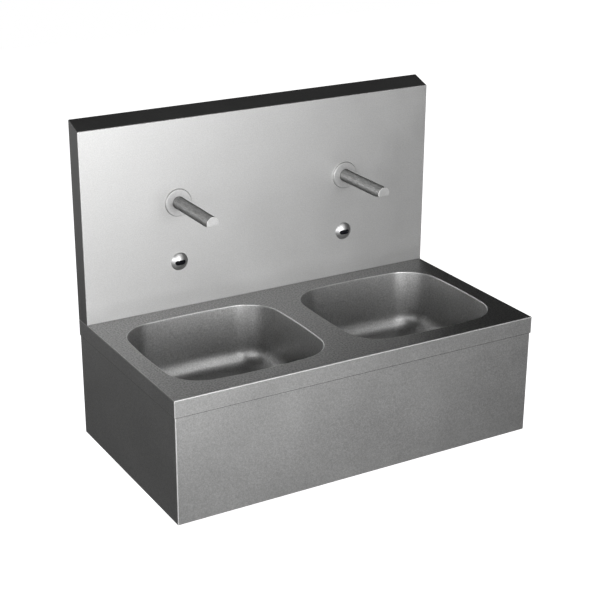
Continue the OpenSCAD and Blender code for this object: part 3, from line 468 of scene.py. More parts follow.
def dress(obj, nodes, slot="", finish=""):      # finish and body come from the first node, the finish named after its slot
    slot = slot or nodeSlot[nodes[0]]
    obj.data.materials.clear()
    obj.data.materials.append(finishes[finish or camelName(slot)])
    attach(obj, nodeBody[nodes[0]])
    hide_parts(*nodes)


def settle(obj, name):
    obj.name = name
    activate(obj)
    bpy.ops.object.transform_apply(location=True, rotation=True, scale=True)
    return obj


def startCube(name, low, high):
    clearPick()
    bpy.ops.mesh.primitive_cube_add(size=1.0, location=[(a + b) / 2 for a, b in zip(low, high)])
    obj = bpy.context.object
    obj.scale = [b - a for a, b in zip(low, high)]
    return settle(obj, name)


def startRound(name, radius, start, end, steps=96):     # a cylinder from one point to another
    clearPick()
    start = Vector(start)
    run = Vector(end) - start
    turn = run.to_track_quat("Z", "Y").to_euler()
    bpy.ops.mesh.primitive_cylinder_add(
        vertices=steps, radius=radius, depth=run.length, location=start + run / 2, rotation=turn)
    return settle(bpy.context.object, name)


def turned(name, profile, base, axis, out, steps=96):       # profile: distance along the axis, radius
    clearPick()
    base, axis, out = Vector(base), Vector(axis), Vector(out)
    places = [base + axis * along + out * radius for along, radius in profile]
    bpy.ops.mesh.primitive_plane_add(size=0.001, location=places[0])
    obj = settle(bpy.context.object, name)
    edit(obj)
    bpy.ops.mesh.merge(type="CENTER")
    for before, after in zip(places, places[1:]):
        extrudeBy(after - before)
    bpy.ops.mesh.select_all(action="SELECT")
    bpy.ops.mesh.spin(steps=steps, angle=2 * math.pi, center=base, axis=axis)
    bpy.ops.mesh.select_all(action="SELECT")
    bpy.ops.mesh.remove_doubles(threshold=0.000001)
    bpy.ops.mesh.normals_make_consistent(inside=False)
    clearPick()
    return obj


def extrudeBy(move):
    bpy.ops.mesh.extrude_region_move(TRANSFORM_OT_translate={"value": move})


def startSheet(obj, sheet, gone, folded):       # opens a box, rounds its folds and gives it its thickness
    edit(obj)
    pick("FACE", gone)
    bpy.ops.mesh.delete(type="FACE")
    pick("EDGE", folded)
    bpy.ops.mesh.bevel(
        offset=sheet["edge"], offset_type="OFFSET", segments=sheet["edgeSteps"], affect="EDGES")
    useModifier(obj, "SOLIDIFY", {"thickness": sheet["sheet"], "offset": -1.0, "use_even_offset": True})


bowl = {
    "width": 0.379, "depth": 0.352, "middle": (0.220, -0.2700), "wasteAt": (0.219, -0.278),
    "bulge": 1.360,         # radius of the slightly curved sides
    "corner": 0.084, "lip": 0.0018, "lean": 3.0, "floorBend": 0.052, "deep": 0.155, "sheet": 0.0012,
    "dish": 0.038, "dishFloor": 0.0365, "dishDrop": 0.003, "waste": 0.02245,
    # the lip gets a painted highlight, the flatter floor painted shade
    "rubbedLip": 0.35, "dullFloor": 0.50,
    "dullFrom": 0.75,       # where the floor gets flat enough to be painted darker
    "sideSteps": 16, "cornerSteps": 16, "lipSteps": 6, "bendSteps": 14, "floorSteps": 5,
    "wallShares": (0.02, 0.3, 0.6, 0.98),       # how far down the wall each ring lies
}


def bowlOutline(inset):     # points round the opening, moved inwards
    corner = bowl["corner"]
    sideOut = bowl["bulge"] - bowl["width"] / 2
    backOut = bowl["bulge"] - bowl["depth"] / 2
    span = math.hypot(sideOut, backOut)
    reach = math.sqrt((bowl["bulge"] - corner) ** 2 - span * span / 4)
    cornerX = reach * backOut / span - sideOut / 2
    cornerY = reach * sideOut / span - backOut / 2
    rise = math.atan2(cornerY, cornerX + sideOut)
    lean = math.pi / 2 - math.atan2(cornerX, cornerY + backOut)
    arcs = [
        (-sideOut, 0, bowl["bulge"], 0, rise, bowl["sideSteps"] // 2),
        (cornerX, cornerY, corner, rise, lean, bowl["cornerSteps"]),
        (0, -backOut, bowl["bulge"], lean, math.pi / 2, bowl["sideSteps"] // 2),
    ]
    part = []
    for midX, midY, radius, start, end, steps in arcs:
        radius -= inset
        for step in range(steps):
            angle = start + (end - start) * step / steps
            part.append((midX + radius * math.cos(angle), midY + radius * math.sin(angle)))
    part.append((0.0, bowl["depth"] / 2 - inset))
    points = []
    for flipX, flipY in ((1, 1), (-1, 1), (-1, -1), (1, -1)):
        quarter = part if flipX * flipY > 0 else part[::-1]
        points += [(x * flipX, y * flipY) for x, y in quarter[:-1]]
    return points


def startOutline(height, fill="NOTHING"):       # the outline of a bowl opening
    outline = bowlOutline(0)
    clearPick()
    bpy.ops.mesh.primitive_circle_add(vertices=len(outline), radius=bowl["width"] / 2, fill_type=fill)
    obj = bpy.context.object
    for vertex, (x, y) in zip(obj.data.vertices, outline):
        vertex.co = (x, y, height)
    return obj, outline


def bowlRings():        # inset and height of each ring down the bowl
    lean = math.radians(bowl["lean"])
    rings = []
    for step in range(bowl["lipSteps"] + 1):
        angle = math.pi / 2 + (math.pi / 2 - lean) * step / bowl["lipSteps"]
        rings.append((-bowl["lip"] * math.cos(angle), bowl["lip"] * (math.sin(angle) - 1)))
    bendZ = bowl["floorBend"] - bowl["deep"]
    wallEndZ = bendZ - bowl["floorBend"] * math.sin(lean)
    startInset, startZ = rings[-1]
    wallEnd = startInset + (startZ - wallEndZ) * math.tan(lean)
    for share in bowl["wallShares"]:
        rings.append((startInset + (wallEnd - startInset) * share, startZ + (wallEndZ - startZ) * share))
    for step in range(bowl["bendSteps"] + 1):
        angle = lean + (math.pi / 2 - lean) * step / bowl["bendSteps"]
        inset = wallEnd + bowl["floorBend"] * (math.cos(lean) - math.cos(angle))
        rings.append((inset, bendZ - bowl["floorBend"] * math.sin(angle)))
    return rings


def moveRing(before, after):        # extrudes the selected ring to its new place
    bpy.ops.mesh.extrude_region_move()
    mesh = bpy.context.object.data
    held = bmesh.from_edit_mesh(mesh)
    targets = {(round(x, 6), round(y, 6)): place for (x, y, z), place in zip(before, after)}
    for vertex in held.verts:
        if vertex.select:
            vertex.co = targets[(round(vertex.co.x, 6), round(vertex.co.y, 6))]
    bmesh.update_edit_mesh(mesh)


def bowlPaintedLight(face):     # a painted highlight on the lip, painted shade on the flatter floor faces
    if face.center.z > -bowl["lip"] and face.normal.z > 0.1:
        return bowl["rubbedLip"]
    flat = max(face.normal.z - bowl["dullFrom"], 0) / (1 - bowl["dullFrom"])
    return -bowl["dullFloor"] * flat


def makeBowl(name, node):
    obj, outline = startOutline(0)
    mesh = obj.data
    side = sides[node.split("_")[0]]
    middleX, middleY = bowl["middle"]
    wasteX, wasteY = bowl["wasteAt"]
    hub = Vector((side * (wasteX - middleX), wasteY - middleY, 0))
    ring = [Vector((x, y, 0)) for x, y in outline]
    out = [(place - hub).normalized() for place in ring]
    edit(obj)
    for inset, height in bowlRings()[1:]:
        following = [Vector((x, y, height)) for x, y in bowlOutline(inset)]
        moveRing(ring, following)
        ring = following
    flat = ring
    dishRing = [hub + way * bowl["dish"] for way in out]
    for step in range(1, bowl["floorSteps"] + 1):
        share = step / bowl["floorSteps"]
        following = [a.lerp(Vector((b.x, b.y, a.z)), share) for a, b in zip(flat, dishRing)]
        moveRing(ring, following)
        ring = following
    for radius, drop in ((bowl["dishFloor"], bowl["dishDrop"]), (bowl["waste"], bowl["dishDrop"])):
        following = [hub + way * radius - Vector((0, 0, bowl["deep"] + drop)) for way in out]
        moveRing(ring, following)
        ring = following
    bpy.ops.mesh.select_all(action="SELECT")
    held = bmesh.from_edit_mesh(mesh)
    held.faces.ensure_lookup_table()
    if sum(face.normal.z for face in held.faces) < 0:
        bpy.ops.mesh.flip_normals()
    clearPick()
    obj.location = (middleX * side, middleY, 0)
    settle(obj, name)
    useModifier(obj, "SOLIDIFY", {"thickness": bowl["sheet"], "offset": -1.0, "use_even_offset": True})
    markPaintedLight(obj, bowlPaintedLight)
    smooth(obj, 40, weighted=False)
    dress(obj, [node])


makeBowl("leftBowl", "left_bowl")
makeBowl("rightBowl", "right_bowl")
print("bowls made")

deck = {
    "halfWidth": 0.450, "front": -0.494, "rim": 0.040, "sheet": 0.0015, "edge": 0.002, "edgeSteps": 4,
    # the hem under the rim is painted dark as a shadow line, and the folds get a painted highlight
    "hem": 0.0014, "hemBand": 0.0005, "hemDark": 1.0, "foldRubbed": 0.6, "sliver": 0.000005,
    "notch": (0.409, 0.4485, 0.007),        # from, to, depth from the wall
    "slot": (0.137, 0.239, -0.040, -0.004),     # from, to, back to front
    "studs": (0.425, -0.120, -0.380),       # across, then each one's place
    "studRadius": 0.003, "studLength": 0.018, "studSoft": 0.0005,
}


def deckPaintedLight(face):
    if -0.95 < face.normal.z < -0.1:        # the hem under the rim, painted dark as a shadow line
        return -deck["hemDark"]
    # a painted highlight on the folds
    return deck["foldRubbed"] * onFold(face)


def makeDeck():
    wide, front, rim = deck["halfWidth"], deck["front"], deck["rim"]

    def folded(edge):
        spot = middle(edge)
        upper = abs(spot.z) < close and spot.y < -close
        return upper or (abs(spot.z + rim / 2) < close and spot.y < front + close)

    def onHem(corner):
        outer = abs(corner.co.x) > wide - deck["hemBand"] or corner.co.y < front + deck["hemBand"]
        return outer and abs(corner.co.z + rim) < exact

    obj = startCube("deckSheet", (-wide, front, -rim), (wide, 0, 0))
    startSheet(obj, deck, lambda face: face.normal.z < -0.5, folded)
    edit(obj)
    pick("EDGE", lambda edge: all(onHem(corner) for corner in edge.verts))
    bpy.ops.mesh.bevel(offset=deck["hem"], offset_type="OFFSET", segments=2, affect="EDGES")
    for side in sides.values():
        near, far, depth = deck["notch"]
        left, right = sorted((side * near, side * far))
        cutWith(obj, startCube("notch", (left, -depth, -rim - past), (right, past, past)))
        near, far, low, high = deck["slot"]
        left, right = sorted((side * near, side * far))
        cutWith(obj, startCube("slot", (left, low, -through), (right, high, past)))
        cutWith(obj, openingTool(side))
    for side in sides.values():
        out, *places = deck["studs"]
        for place in places:
            top = (side * out, place, -deck["sheet"])
            low = (side * out, place, -deck["sheet"] - deck["studLength"])
            stud = startRound("stud", deck["studRadius"], low, top, 32)
            softEdges(stud, deck["studSoft"], 1)
            activate(obj)
            stud.select_set(True)
            bpy.ops.object.join()
    dropSlivers(obj, deck["sliver"])
    markPaintedLight(obj, deckPaintedLight)
    smooth(obj)
    dress(obj, ["deck"])
    # the deck's top takes a coarser grain and a darker level, partly painted shade
    refinish(obj, "deckTop", lambda face: face.normal.z > 0.99 and face.center.z > -close)


def openingTool(side):
    obj = startOutline(past, "NGON")[0]
    edit(obj)
    extrudeBy((0, 0, -past - through))
    bpy.ops.mesh.select_all(action="SELECT")
    bpy.ops.mesh.normals_make_consistent(inside=False)
    clearPick()
    obj.location = (bowl["middle"][0] * side, bowl["middle"][1], 0)
    return settle(obj, "openingTool")


makeDeck()
print("deck made")

apron = {
    "halfWidth": 0.448, "front": -0.492, "low": -0.285, "high": -0.012, "sheet": 0.0015, "edge": 0.002,
    "edgeSteps": 4, "turnedIn": 0.025, "foldRubbed": 1.0,
    "screw": (0.434, -0.035, 0.00275),      # across, from the wall, hole radius
}


def makeApron():
    wide, front, low, high = (apron[key] for key in ("halfWidth", "front", "low", "high"))

    def folded(edge):
        spot = middle(edge)
        corner = abs(spot.z - (low + high) / 2) < close and spot.y < front + close
        return corner or (abs(spot.z - low) < close and spot.y < -close)

    obj = startCube("apronSheet", (-wide, front, low), (wide, 0, high))
    startSheet(obj, apron, lambda face: face.normal.z > 0.5 or face.normal.y > 0.5, folded)
    inner = apron["sheet"] + apron["turnedIn"]
    under, over = low - past, low + through
    cutWith(obj, startCube("openBelow", (inner - wide, front + inner, under), (wide - inner, past, over)))
    out, back, radius = apron["screw"]
    for side in sides.values():
        ends = (side * out, back, under), (side * out, back, over)
        cutWith(obj, startRound("screwHole", radius, *ends, 32))
    # the folds get a painted highlight
    markPaintedLight(obj, lambda face: apron["foldRubbed"] * onFold(face))
    smooth(obj)
    dress(obj, ["apron"])


makeApron()
print("apron made")

splash = {
    "halfWidth": 0.450, "front": -0.048, "high": 0.444, "rise": 0.017, "sheet": 0.0015, "edge": 0.002,
    "edgeSteps": 4, "wallFlange": 0.020, "openGap": 0.0001,
    "across": 0.219, "spoutHole": (0.253, 0.0091), "sensorHole": (0.112, 0.0101),       # height, radius
    # a strip of painted shade along the foot where the panel meets the deck, and painted highlights on the
    # folds
    "seam": 0.0016, "seamDark": 0.45, "foldRubbed": 0.35,
}


def splashPaintedLight(face):
    if face.center.z < splash["seam"] and face.normal.y < -0.5:     # along the deck, painted shade
        return -splash["seamDark"]
    return splash["foldRubbed"] * onFold(face)


def makeSplash():
    wide, front, high = splash["halfWidth"], splash["front"], splash["high"]

    def folded(edge):
        spot = middle(edge)
        atSide = abs(spot.x) > wide - close
        top = spot.z > high - close and (abs(spot.x) < close or atSide) and spot.y < -close
        return top or (spot.y < front + close and atSide)

    obj = startCube("splashSheet", (-wide, front, 0), (wide, 0, high))
    edit(obj)
    pick("VERT", lambda corner: corner.co.z > high - close and corner.co.y > -close)
    bpy.ops.transform.translate(value=(0, 0, splash["rise"]))
    startSheet(obj, splash, lambda face: face.normal.z < -0.5, folded)
    inner = splash["sheet"] + splash["openGap"]
    top = high + splash["rise"] - splash["wallFlange"]
    cutWith(obj, startCube("openBack", (inner - wide, -through, -past), (wide - inner, past, top)))
    for height, radius in (splash["spoutHole"], splash["sensorHole"]):
        for side in sides.values():
            out = side * splash["across"]
            ends = (out, front - past, height), (out, front + through, height)
            cutWith(obj, startRound("hole", radius, *ends, 48))
    edit(obj)
    bpy.ops.mesh.bisect(plane_co=(0, 0, splash["seam"]), plane_no=(0, 0, 1))
    clearPick()
    markPaintedLight(obj, splashPaintedLight)
    smooth(obj)
    dress(obj, ["splashback"])
    # the sides and top take the darker copy of the panel steel, painted shade
    refinish(obj, "panelEdge", lambda face: abs(face.normal.x) > 0.99 or face.normal.z > 0.9)


makeSplash()
print("splashback made")

spout = {
    "out": 0.219, "panel": -0.048, "height": 0.253, "radius": 0.0146, "reach": 0.1725,
    "shank": 0.009, "shankEnd": -0.0365, "endEdge": 0.001, "endRubbed": 1.0,
    "flatLength": 0.034, "flatDepth": 0.009, "flatEdge": 0.0005,        # the slanted flat under the tip
    "outletHole": 0.0061, "outletDepth": 0.009, "outletShare": 0.58,        # how far up the flat it is
    "flange": 0.032, "flangeThick": 0.0055, "flangeEdge": 0.002, "flangeHole": 0.0147,
    "flangeSteps": 6, "flangeInner": 0.0006,
}


def makeSpout(name, node):
    out = spout["out"] * sides[node.split("_")[0]]
    height = spout["height"]
    tip = spout["panel"] - spout["reach"]
    obj = startRound(name, spout["radius"], (out, tip, height), (out, spout["panel"], height))
    edit(obj)
    pick("FACE", lambda face: face.normal.y > 0.9)
    bpy.ops.mesh.inset(thickness=spout["radius"] - spout["shank"])
    extrudeBy((0, spout["shankEnd"] - spout["panel"], 0))
    pick("EDGE", lambda edge: all(abs(corner.co.y - tip) < exact for corner in edge.verts))
    bpy.ops.mesh.bevel(offset=spout["endEdge"], segments=3, affect="EDGES")
    low = Vector((out, tip + spout["flatLength"], height - spout["radius"]))
    along = Vector((0, -spout["flatLength"], spout["flatDepth"])).normalized()
    down = Vector((0, -spout["flatDepth"], -spout["flatLength"])).normalized()
    bpy.ops.mesh.select_all(action="SELECT")
    bpy.ops.mesh.bisect(plane_co=low, plane_no=down, use_fill=True, clear_outer=True)
    pick("FACE", lambda face: face.normal.dot(down) > 0.999)
    bpy.ops.mesh.bevel(offset=spout["flatEdge"], segments=3, affect="EDGES")
    clearPick()
    run = spout["flatLength"] / math.cos(math.atan2(spout["flatDepth"], spout["flatLength"]))
    hole = low + along * run * spout["outletShare"]
    ends = hole - down * spout["outletDepth"], hole + down * (past + through)
    cutWith(obj, startRound("outletTool", spout["outletHole"], *ends, 48))
    # the tip's rounded edge gets a painted highlight; it and the end face take the panel steel
    markPaintedLight(obj, lambda face: spout["endRubbed"] * (-0.99 < face.normal.y < -0.5))
    smooth(obj)
    dress(obj, [node])
    refinish(obj, "satinPanel", lambda face: face.normal.y < -0.5)


def makeFlange(name, node):
    out = spout["out"] * sides[node.split("_")[0]]
    thick, wide, edge, hole = (spout[key] for key in ("flangeThick", "flange", "flangeEdge", "flangeHole"))
    inner = spout["flangeInner"]
    profile = [(0, hole), (0, wide)]
    for step in range(spout["flangeSteps"] + 1):
        angle = math.pi / 2 * step / spout["flangeSteps"]
        profile.append((thick - edge + edge * math.sin(angle), wide - edge + edge * math.cos(angle)))
    profile += [(thick, hole + inner), (thick - inner, hole), (0, hole)]
    obj = turned(name, profile, (out, spout["panel"], spout["height"]), (0, -1, 0), (1, 0, 0))
    smooth(obj)
    dress(obj, [node], "satin_panel")


for side in sides:
    makeSpout(side + "Spout", side + "_spout_tube")
    makeFlange(side + "Flange", side + "_spout_flange")
print("spouts made")

sensor = {      # distances along the sensor are from the panel
    "height": 0.112, "radius": 0.0212, "rise": 0.008, "barrel": 0.010, "barrelEnd": 0.024,
    "gland": 0.004, "glandEnd": 0.028, "windowWide": 0.026, "windowHigh": 0.0112, "windowDrop": 0.001,
    "windowFloor": 0.0035, "windowSink": 0.0002, "windowGap": 0.0001,
    "innerLine": 0.0013, "grooveWide": 0.0005, "grooveFloor": 0.0056, "islandFloor": 0.003,
    "clear": 0.010,     # how far out the cutters reach
}


def windowPrism(name, out, shrink, low, high):
    radius = sensor["windowHigh"] / 2 - shrink
    half = (sensor["windowWide"] - sensor["windowHigh"]) / 2
    height = sensor["height"] - sensor["windowDrop"]
    ends = (out, spout["panel"] - low, height), (out, spout["panel"] - high, height)
    obj = startRound(name, radius, *ends, 48)
    edit(obj)
    for way in (-1, 1):
        pick("VERT", lambda corner: (corner.co.x - out) * way > exact)
        bpy.ops.transform.translate(value=(way * half, 0, 0))
    clearPick()
    return obj


def ballPoints(shrink, steps=20):       # the domed front, from its middle to its edge
    radius = (sensor["radius"] ** 2 + sensor["rise"] ** 2) / (2 * sensor["rise"])
    points = []
    for step in range(steps + 1):
        angle = math.asin(sensor["radius"] / radius) * step / steps
        reach = radius - shrink
        points.append((sensor["rise"] - radius + reach * math.cos(angle), reach * math.sin(angle)))
    return points


def makeSensor(side):
    out = spout["out"] * sides[side]
    base = (out, spout["panel"], sensor["height"])
    low, high = sensor["windowFloor"], sensor["clear"]
    barrel, barrelEnd = sensor["barrel"], sensor["barrelEnd"]
    gland, glandEnd = sensor["gland"], sensor["glandEnd"]
    profile = ballPoints(0)
    profile[0] = (sensor["rise"], 0)
    profile += [(0, barrel), (-barrelEnd, barrel), (-barrelEnd, gland), (-glandEnd, gland), (-glandEnd, 0)]
    dome = turned(side + "Sensor", profile, base, (0, -1, 0), (1, 0, 0))
    cutWith(dome, windowPrism("recess", out, 0, low, high))
    smooth(dome, 25, weighted=False)
    dress(dome, [side + "_sensor_dome"], finish="domeChrome")
    profile = ballPoints(sensor["windowSink"])
    profile += [(-past, profile[-1][1]), (-past, 0)]
    ball = turned("ball", profile, base, (0, -1, 0), (1, 0, 0))
    window = windowPrism(side + "Window", out, sensor["windowGap"], low, high)
    cutWith(window, ball, "INTERSECT")
    inner = sensor["windowGap"] + sensor["innerLine"]
    groove = windowPrism("groove", out, inner, sensor["grooveFloor"], high)
    inner += sensor["grooveWide"]
    cutWith(groove, windowPrism("island", out, inner, sensor["islandFloor"], high + past))
    cutWith(window, groove)
    smooth(window, 25, weighted=False)
    dress(window, [side + "_sensor_window"])


for side in sides:
    makeSensor(side)
print("sensors made")

softened = {        # width of the softened edges on each piece taken over from the CAD
    "front_rail": 0.0005, "left_wall_bracket": 0.0008, "right_wall_bracket": 0.0008, "deck_nuts": 0.0005,
    "apron_screws": 0.0004, "spout_nuts": 0.0007, "sensor_nuts": 0.0007, "strainer_screws": 0.0003,
    "waste_gaskets": 0.0008, "waste_nuts": 0.0009, "control_box": 0.0020, "control_lid": 0.0009,
    "circuit_board": 0.0003, "battery_pack": 0.0020,
}
softenedPairs = {
    "spout_outlet": 0.0002, "waste_body": 0.0004, "strainer": 0.0003, "trap_head": 0.0008,
    "trap_cup": 0.0016, "trap_pipe": 0.0004, "solenoid_body": 0.0008, "solenoid_coil": 0.0018,
    "plunger": 0.0003, "stop_valve": 0.0008, "stop_ball": 0.0003, "stop_lever": 0.0008,
}


def copyNode(node):     # the CAD mesh with its vertices joined, left in edit mode
    clearPick()
    obj = addObject(camelName(node), cadNodes[node].data.copy())
    edit(obj)
    bpy.ops.mesh.remove_doubles(threshold=welded)
    return obj


def softCopy(node, width, finish=""):
    obj = copyNode(node)
    bpy.ops.mesh.dissolve_limited(angle_limit=math.radians(0.5))
    clearPick()
    softEdges(obj, width, 2, 30)
    smooth(obj)
    dress(obj, [node], finish=finish)


for node, width in softened.items():
    softCopy(node, width)
for side in sides:
    for part, width in softenedPairs.items():
        softCopy(side + "_" + part, width, "zincSteel" if part == "stop_lever" else "")
print("hidden fittings softened")


def makeSpring(side):       # a smoothed copy of the CAD spring
    node = side + "_plunger_spring"
    obj = copyNode(node)
    bpy.ops.mesh.normals_make_consistent(inside=False)
    clearPick()
    smooth(obj, 60, weighted=False)
    obj.data.materials.clear()
    obj.data.materials.append(finishes["zincSteel"])
    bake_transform(obj)
    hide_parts(node)


for side in sides:
    makeSpring(side)
print("springs made")

grip = {
    "across": 0.157, "front": -0.0588, "back": -0.0538, "high": -0.173, "low": -0.2140,
    "halfTop": 0.0068, "flare": 0.0009, "soft": 0.0021, "ribs": 5, "ribDeep": 0.0005, "ribHalf": 0.0006,
}


def makeGrip(side):     # the dipped sleeve on a stop valve's lever, a little wider at its end
    out = grip["across"] * sides[side]
    half, front, back, high, low = (grip[key] for key in ("halfTop", "front", "back", "high", "low"))
    obj = startCube(side + "LeverGrip", (out - half, front, low), (out + half, back, high))
    edit(obj)
    for way in (-1, 1):
        pick("VERT", lambda corner: corner.co.z < low + close and (corner.co.x - out) * way > 0)
        bpy.ops.transform.translate(value=(way * grip["flare"], 0, 0))
    bpy.ops.mesh.select_all(action="SELECT")
    bpy.ops.mesh.bevel(offset=grip["soft"], segments=4, affect="EDGES")
    clearPick()
    step = (high - low) / (grip["ribs"] + 2)
    for count in range(grip["ribs"]):
        height = low + step * (count + 1.5)
        start = (out - 2 * half, front - past, height - grip["ribHalf"])
        end = (out + 2 * half, front + grip["ribDeep"], height + grip["ribHalf"])
        cutWith(obj, startCube("rib", start, end))
    smooth(obj)
    dress(obj, [side + "_stop_lever"])


for side in sides:
    makeGrip(side)
print("levers gripped")


def bentRoute(corners, bends, steps=10):        # straight runs joined by quarter bends
    corners = [Vector(corner) for corner in corners]
    points = [corners[0]]
    for before, corner, after, radius in zip(corners, corners[1:], corners[2:], bends):
        arrive = (corner - before).normalized()
        leave = (after - corner).normalized()
        hub = corner + (leave - arrive) * radius
        for step in range(steps + 1):
            angle = math.pi / 2 * step / steps
            points.append(hub + (arrive * math.sin(angle) - leave * math.cos(angle)) * radius)
    return points + [corners[-1]]


def wrapMap(obj, points):       # own map: u once round the tube, v in metres along it
    lengths = [0.0]
    normals = []
    for before, after in zip(points, points[1:]):
        lengths.append(lengths[-1] + (after - before).length)
    normal = Vector((0, 1, 0.2))
    for index in range(len(points)):
        along = (points[min(index + 1, len(points) - 1)] - points[max(index - 1, 0)]).normalized()
        normal = (normal - along * normal.dot(along)).normalized()
        normals.append((normal, along.cross(normal)))
    spots = []
    for vertex in obj.data.vertices:
        ring = min(range(len(points)), key=lambda index: (vertex.co - points[index]).length)
        arm = vertex.co - points[ring]
        turn = math.atan2(arm.dot(normals[ring][1]), arm.dot(normals[ring][0])) / (2 * math.pi) + 0.5
        spots.append((turn, lengths[ring]))
    while obj.data.uv_layers:
        obj.data.uv_layers.remove(obj.data.uv_layers[0])
    layer = obj.data.uv_layers.new(name="along")
    for face in obj.data.polygons:
        turns = [spots[corner][0] for corner in face.vertices]
        split = max(turns) - min(turns) > 0.5
        for loop, corner in zip(face.loop_indices, face.vertices):
            turn, length = spots[corner]
            layer.data[loop].uv = (turn + 1 if split and turn < 0.5 else turn, length)


def makeTube(name, node, points, radius):
    clearPick()
    data = bpy.data.curves.new(name, "CURVE")
    data.dimensions = "3D"
    data.bevel_depth = radius
    data.bevel_resolution = 8
    data.use_fill_caps = True
    line = data.splines.new("POLY")
    line.points.add(len(points) - 1)
    for spot, place in zip(line.points, points):
        spot.co = (*place, 1.0)
    obj = addObject(name, data)
    activate(obj)
    bpy.ops.object.convert(target="MESH")
    obj = bpy.context.object
    edit(obj)
    bpy.ops.mesh.remove_doubles(threshold=exact)
    bpy.ops.mesh.normals_make_consistent(inside=False)
    clearPick()
    wrapMap(obj, points)
    smooth(obj, 40, weighted=False)
    dress(obj, [node])


supply = {
    "tap": 0.219, "line": 0.157, "back": -0.028, "height": 0.253, "low": -0.068,
    "hose": 0.006, "hoseBend": 0.030, "elbowStart": -0.0365, "elbow": 0.008, "elbowReach": 0.032,
    "hoseStart": 0.8, "hoseEnd": 0.006,     # inside the elbow's sleeve and the nut's
    "sleeve": 0.0068, "crimp": 0.0075, "crimpLength": 0.024, "crimpStart": 0.002,
    "crimps": 3, "crimpDeep": 0.0007, "crimpEdge": 0.0004, "crimpFloor": 0.0009, "crimpHalf": 0.0016,
    "nutFlats": 0.020, "nutHigh": 0.010, "nutSoft": 0.0009, "elbowEdge": 0.0005, "elbowSteps": 8,
}


def crimpProfile(end, radius):      # a pressed sleeve with its grooves
    start = supply["crimpStart"]
    edge = supply["crimpEdge"]
    deep = radius - supply["crimpDeep"]
    half, floor = supply["crimpHalf"], supply["crimpFloor"]
    points = [(start, 0), (start, radius - edge), (start + edge, radius)]
    step = (end - start) / (supply["crimps"] + 1)
    for count in range(supply["crimps"]):
        at = start + step * (count + 1)
        points += [(at - half, radius), (at - floor, deep), (at + floor, deep), (at + half, radius)]
    return points + [(end - edge, radius), (end, radius - edge), (end, 0)]


def makeHose(side):
    way = sides[side]
    tap, line, back, height = way * supply["tap"], way * supply["line"], supply["back"], supply["height"]
    node = side + "_spout_hose"
    start = (tap - way * supply["elbowReach"] * supply["hoseStart"], back, height)
    end = (line, back, supply["low"] + supply["hoseEnd"])
    points = bentRoute([start, (line, back, height), end], [supply["hoseBend"]], 14)
    makeTube(side + "HoseBraid", node, points, supply["hose"])

    radius, edge = supply["elbow"], supply["elbowEdge"]
    run = back - supply["elbowStart"]
    profile = [(0, 0), (0, radius - edge), (edge, radius)]
    for step in range(supply["elbowSteps"] + 1):
        angle = math.pi / 2 * step / supply["elbowSteps"]
        profile.append((run + radius * math.sin(angle), radius * math.cos(angle)))
    base = (tap, supply["elbowStart"], height)
    elbow = turned(side + "HoseElbow", profile, base, (0, 1, 0), (1, 0, 0), 40)
    profile = crimpProfile(supply["elbowReach"], supply["sleeve"])
    cutWith(elbow, turned("arm", profile, (tap, back, height), (-way, 0, 0), (0, 0, 1), 40), "UNION")
    smooth(elbow)
    dress(elbow, [node], finish="zincSteel")

    low = Vector((line, back, supply["low"]))
    corner = supply["nutFlats"] / math.sqrt(3)
    nut = startRound(side + "HoseNut", corner, low, low + Vector((0, 0, supply["nutHigh"])), 6)
    softEdges(nut, supply["nutSoft"], 3)
    profile = crimpProfile(supply["crimpLength"], supply["crimp"])
    cutWith(nut, turned("crimp", profile, low, (0, 0, 1), (1, 0, 0), 40), "UNION")
    smooth(nut)
    dress(nut, [node], finish="zincSteel")


cable = {
    "radius": 0.002, "sensorStart": -0.020, "sensorHeight": 0.112, "wallSide": -0.008, "sensorRun": -0.075,
    "sensorBend": 0.012, "turn": 0.015, "gland": 0.066,
    "coilStart": 0.137, "coilFront": -0.060, "coilBack": -0.028, "coilHeight": -0.093, "coilTurn": 0.112,
}


def makeCables(side):
    way = sides[side]
    tap, gland, turn = way * supply["tap"], way * cable["gland"], way * cable["coilTurn"]
    wall, high, low = cable["wallSide"], cable["sensorHeight"], cable["sensorRun"]
    corners = [(tap, cable["sensorStart"], high), (tap, wall, high), (tap, wall, low), (gland, wall, low)]
    points = bentRoute(corners, [cable["sensorBend"], cable["turn"]])
    makeTube(side + "SensorCable", side + "_sensor_cable", points, cable["radius"])
    front, back, low = cable["coilFront"], cable["coilBack"], cable["coilHeight"]
    start = (way * cable["coilStart"], front, low)
    corners = [start, (turn, front, low), (turn, back, low), (gland, back, low)]
    points = bentRoute(corners, [cable["turn"], cable["turn"]])
    makeTube(side + "CoilCable", side + "_coil_cable", points, cable["radius"])


for side in sides:
    makeHose(side)
    makeCables(side)
print("hoses and cables laid")

studio = {
    "white": 1.0,       # what the camera sees round the object
    "mirror": 0.02,     # what the metal sees there
    "fill": 0.30,       # what the matt pieces get from it
    "floorHeight": -0.90, "floorSize": 14.0, "floorGlow": 0.92, "floorMirror": 0.01,
    "floorSeen": 0.8, "floorLit": 0.12,     # how pale the floor is to the camera, and to the light
    "key": {"place": (-0.03, -3.16, 0.46), "aim": (0.0, -0.2, 0.1), "size": (1.5, 1.5), "power": 73.0},
    "right": {"place": (0.6, -2.6, 2.0), "aim": (0.0, -0.3, -0.1), "size": (2.2, 0.7), "power": 11.5},
    "flank": {"place": (-2.15, -2.05, 0.45), "aim": (0.0, -0.25, 0.0), "size": (1.5, 1.0), "power": 34.0},
    "corner": {"place": (-2.2, 2.4, -0.3), "aim": (-0.45, -0.2, 0.1), "size": (2.0, 1.0), "power": 3.8},
    "back": {"place": (0.3, 3.2, 1.0), "aim": (0.0, 0.0, 0.0), "size": (3.0, 2.0), "power": 8.0},
}


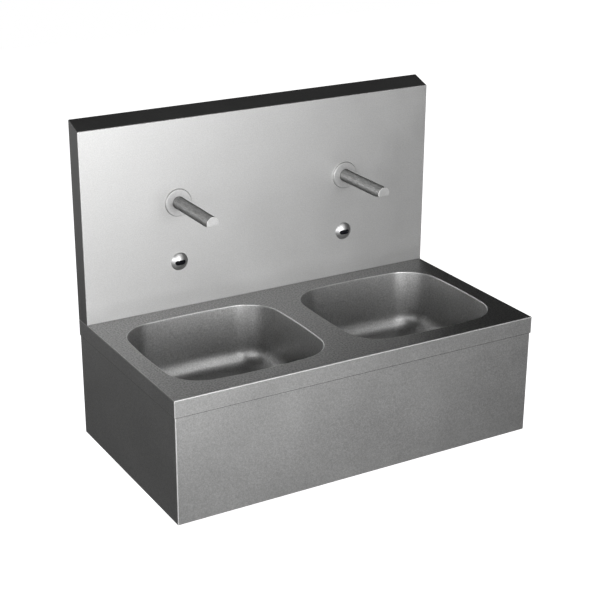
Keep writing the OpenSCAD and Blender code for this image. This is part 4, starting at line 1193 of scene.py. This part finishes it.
def makeLamp(name, look):
    data = bpy.data.lights.new(name, "AREA")
    data.shape = "RECTANGLE"
    data.size, data.size_y = look["size"]
    data.energy = look["power"]
    obj = addObject(name, data)
    aim = Vector(look["aim"]) - Vector(look["place"])
    obj.rotation_euler = aim.to_track_quat("-Z", "Y").to_euler()
    obj.location = look["place"]
    obj.visible_camera = False


def rayShares(wire):        # what the camera sees directly, and what it sees mirrored in metal
    seen = wire.node("LightPath", {}, {}, "Is Camera Ray")
    glossy = wire.node("LightPath", {}, {}, "Is Glossy Ray")
    through = wire.node("LightPath", {}, {}, "Is Transmission Ray")
    return seen, wire.sum("ADD", glossy, through, clamp=True) * (1 - seen)


def makeStudio():
    world = bpy.data.worlds.new("paleStudio")
    bpy.context.scene.world = world
    world.use_nodes = True
    tree = world.node_tree
    tree.nodes.clear()
    wire = Wire(tree)
    seen, mirrored = rayShares(wire)
    strength = seen * studio["white"] + mirrored * studio["mirror"]
    strength = strength + (1 - seen) * (1 - mirrored) * studio["fill"]
    air = wire.node("Background", {}, {"Color": shade(1.0), "Strength": strength})
    out = tree.nodes.new("ShaderNodeOutputWorld")
    tree.links.new(air.socket, out.inputs["Surface"])

    bpy.ops.mesh.primitive_plane_add(size=studio["floorSize"], location=(0, 0, studio["floorHeight"]))
    floor = bpy.context.object
    floor.name = "floor"
    material, wire, out = startFinish("paleFloor")
    seen, mirrored = rayShares(wire)
    glow = seen * studio["floorGlow"] + mirrored * studio["floorMirror"]
    colour = wire.blend(seen, shade(studio["floorLit"]), shade(studio["floorSeen"]))
    lit = wire.node("BsdfDiffuse", {}, {"Color": colour})
    light = wire.node("Emission", {}, {"Color": shade(1.0), "Strength": glow})
    both = wire.node("AddShader", {}, {0: lit, 1: light})
    wire.tree.links.new(both.socket, out.inputs["Surface"])
    floor.data.materials.append(material)
    for name in ("key", "right", "flank", "corner", "back"):
        makeLamp(name + "Lamp", studio[name])
    bpy.context.scene.view_settings.view_transform = "Standard"


makeStudio()
print("studio ready")
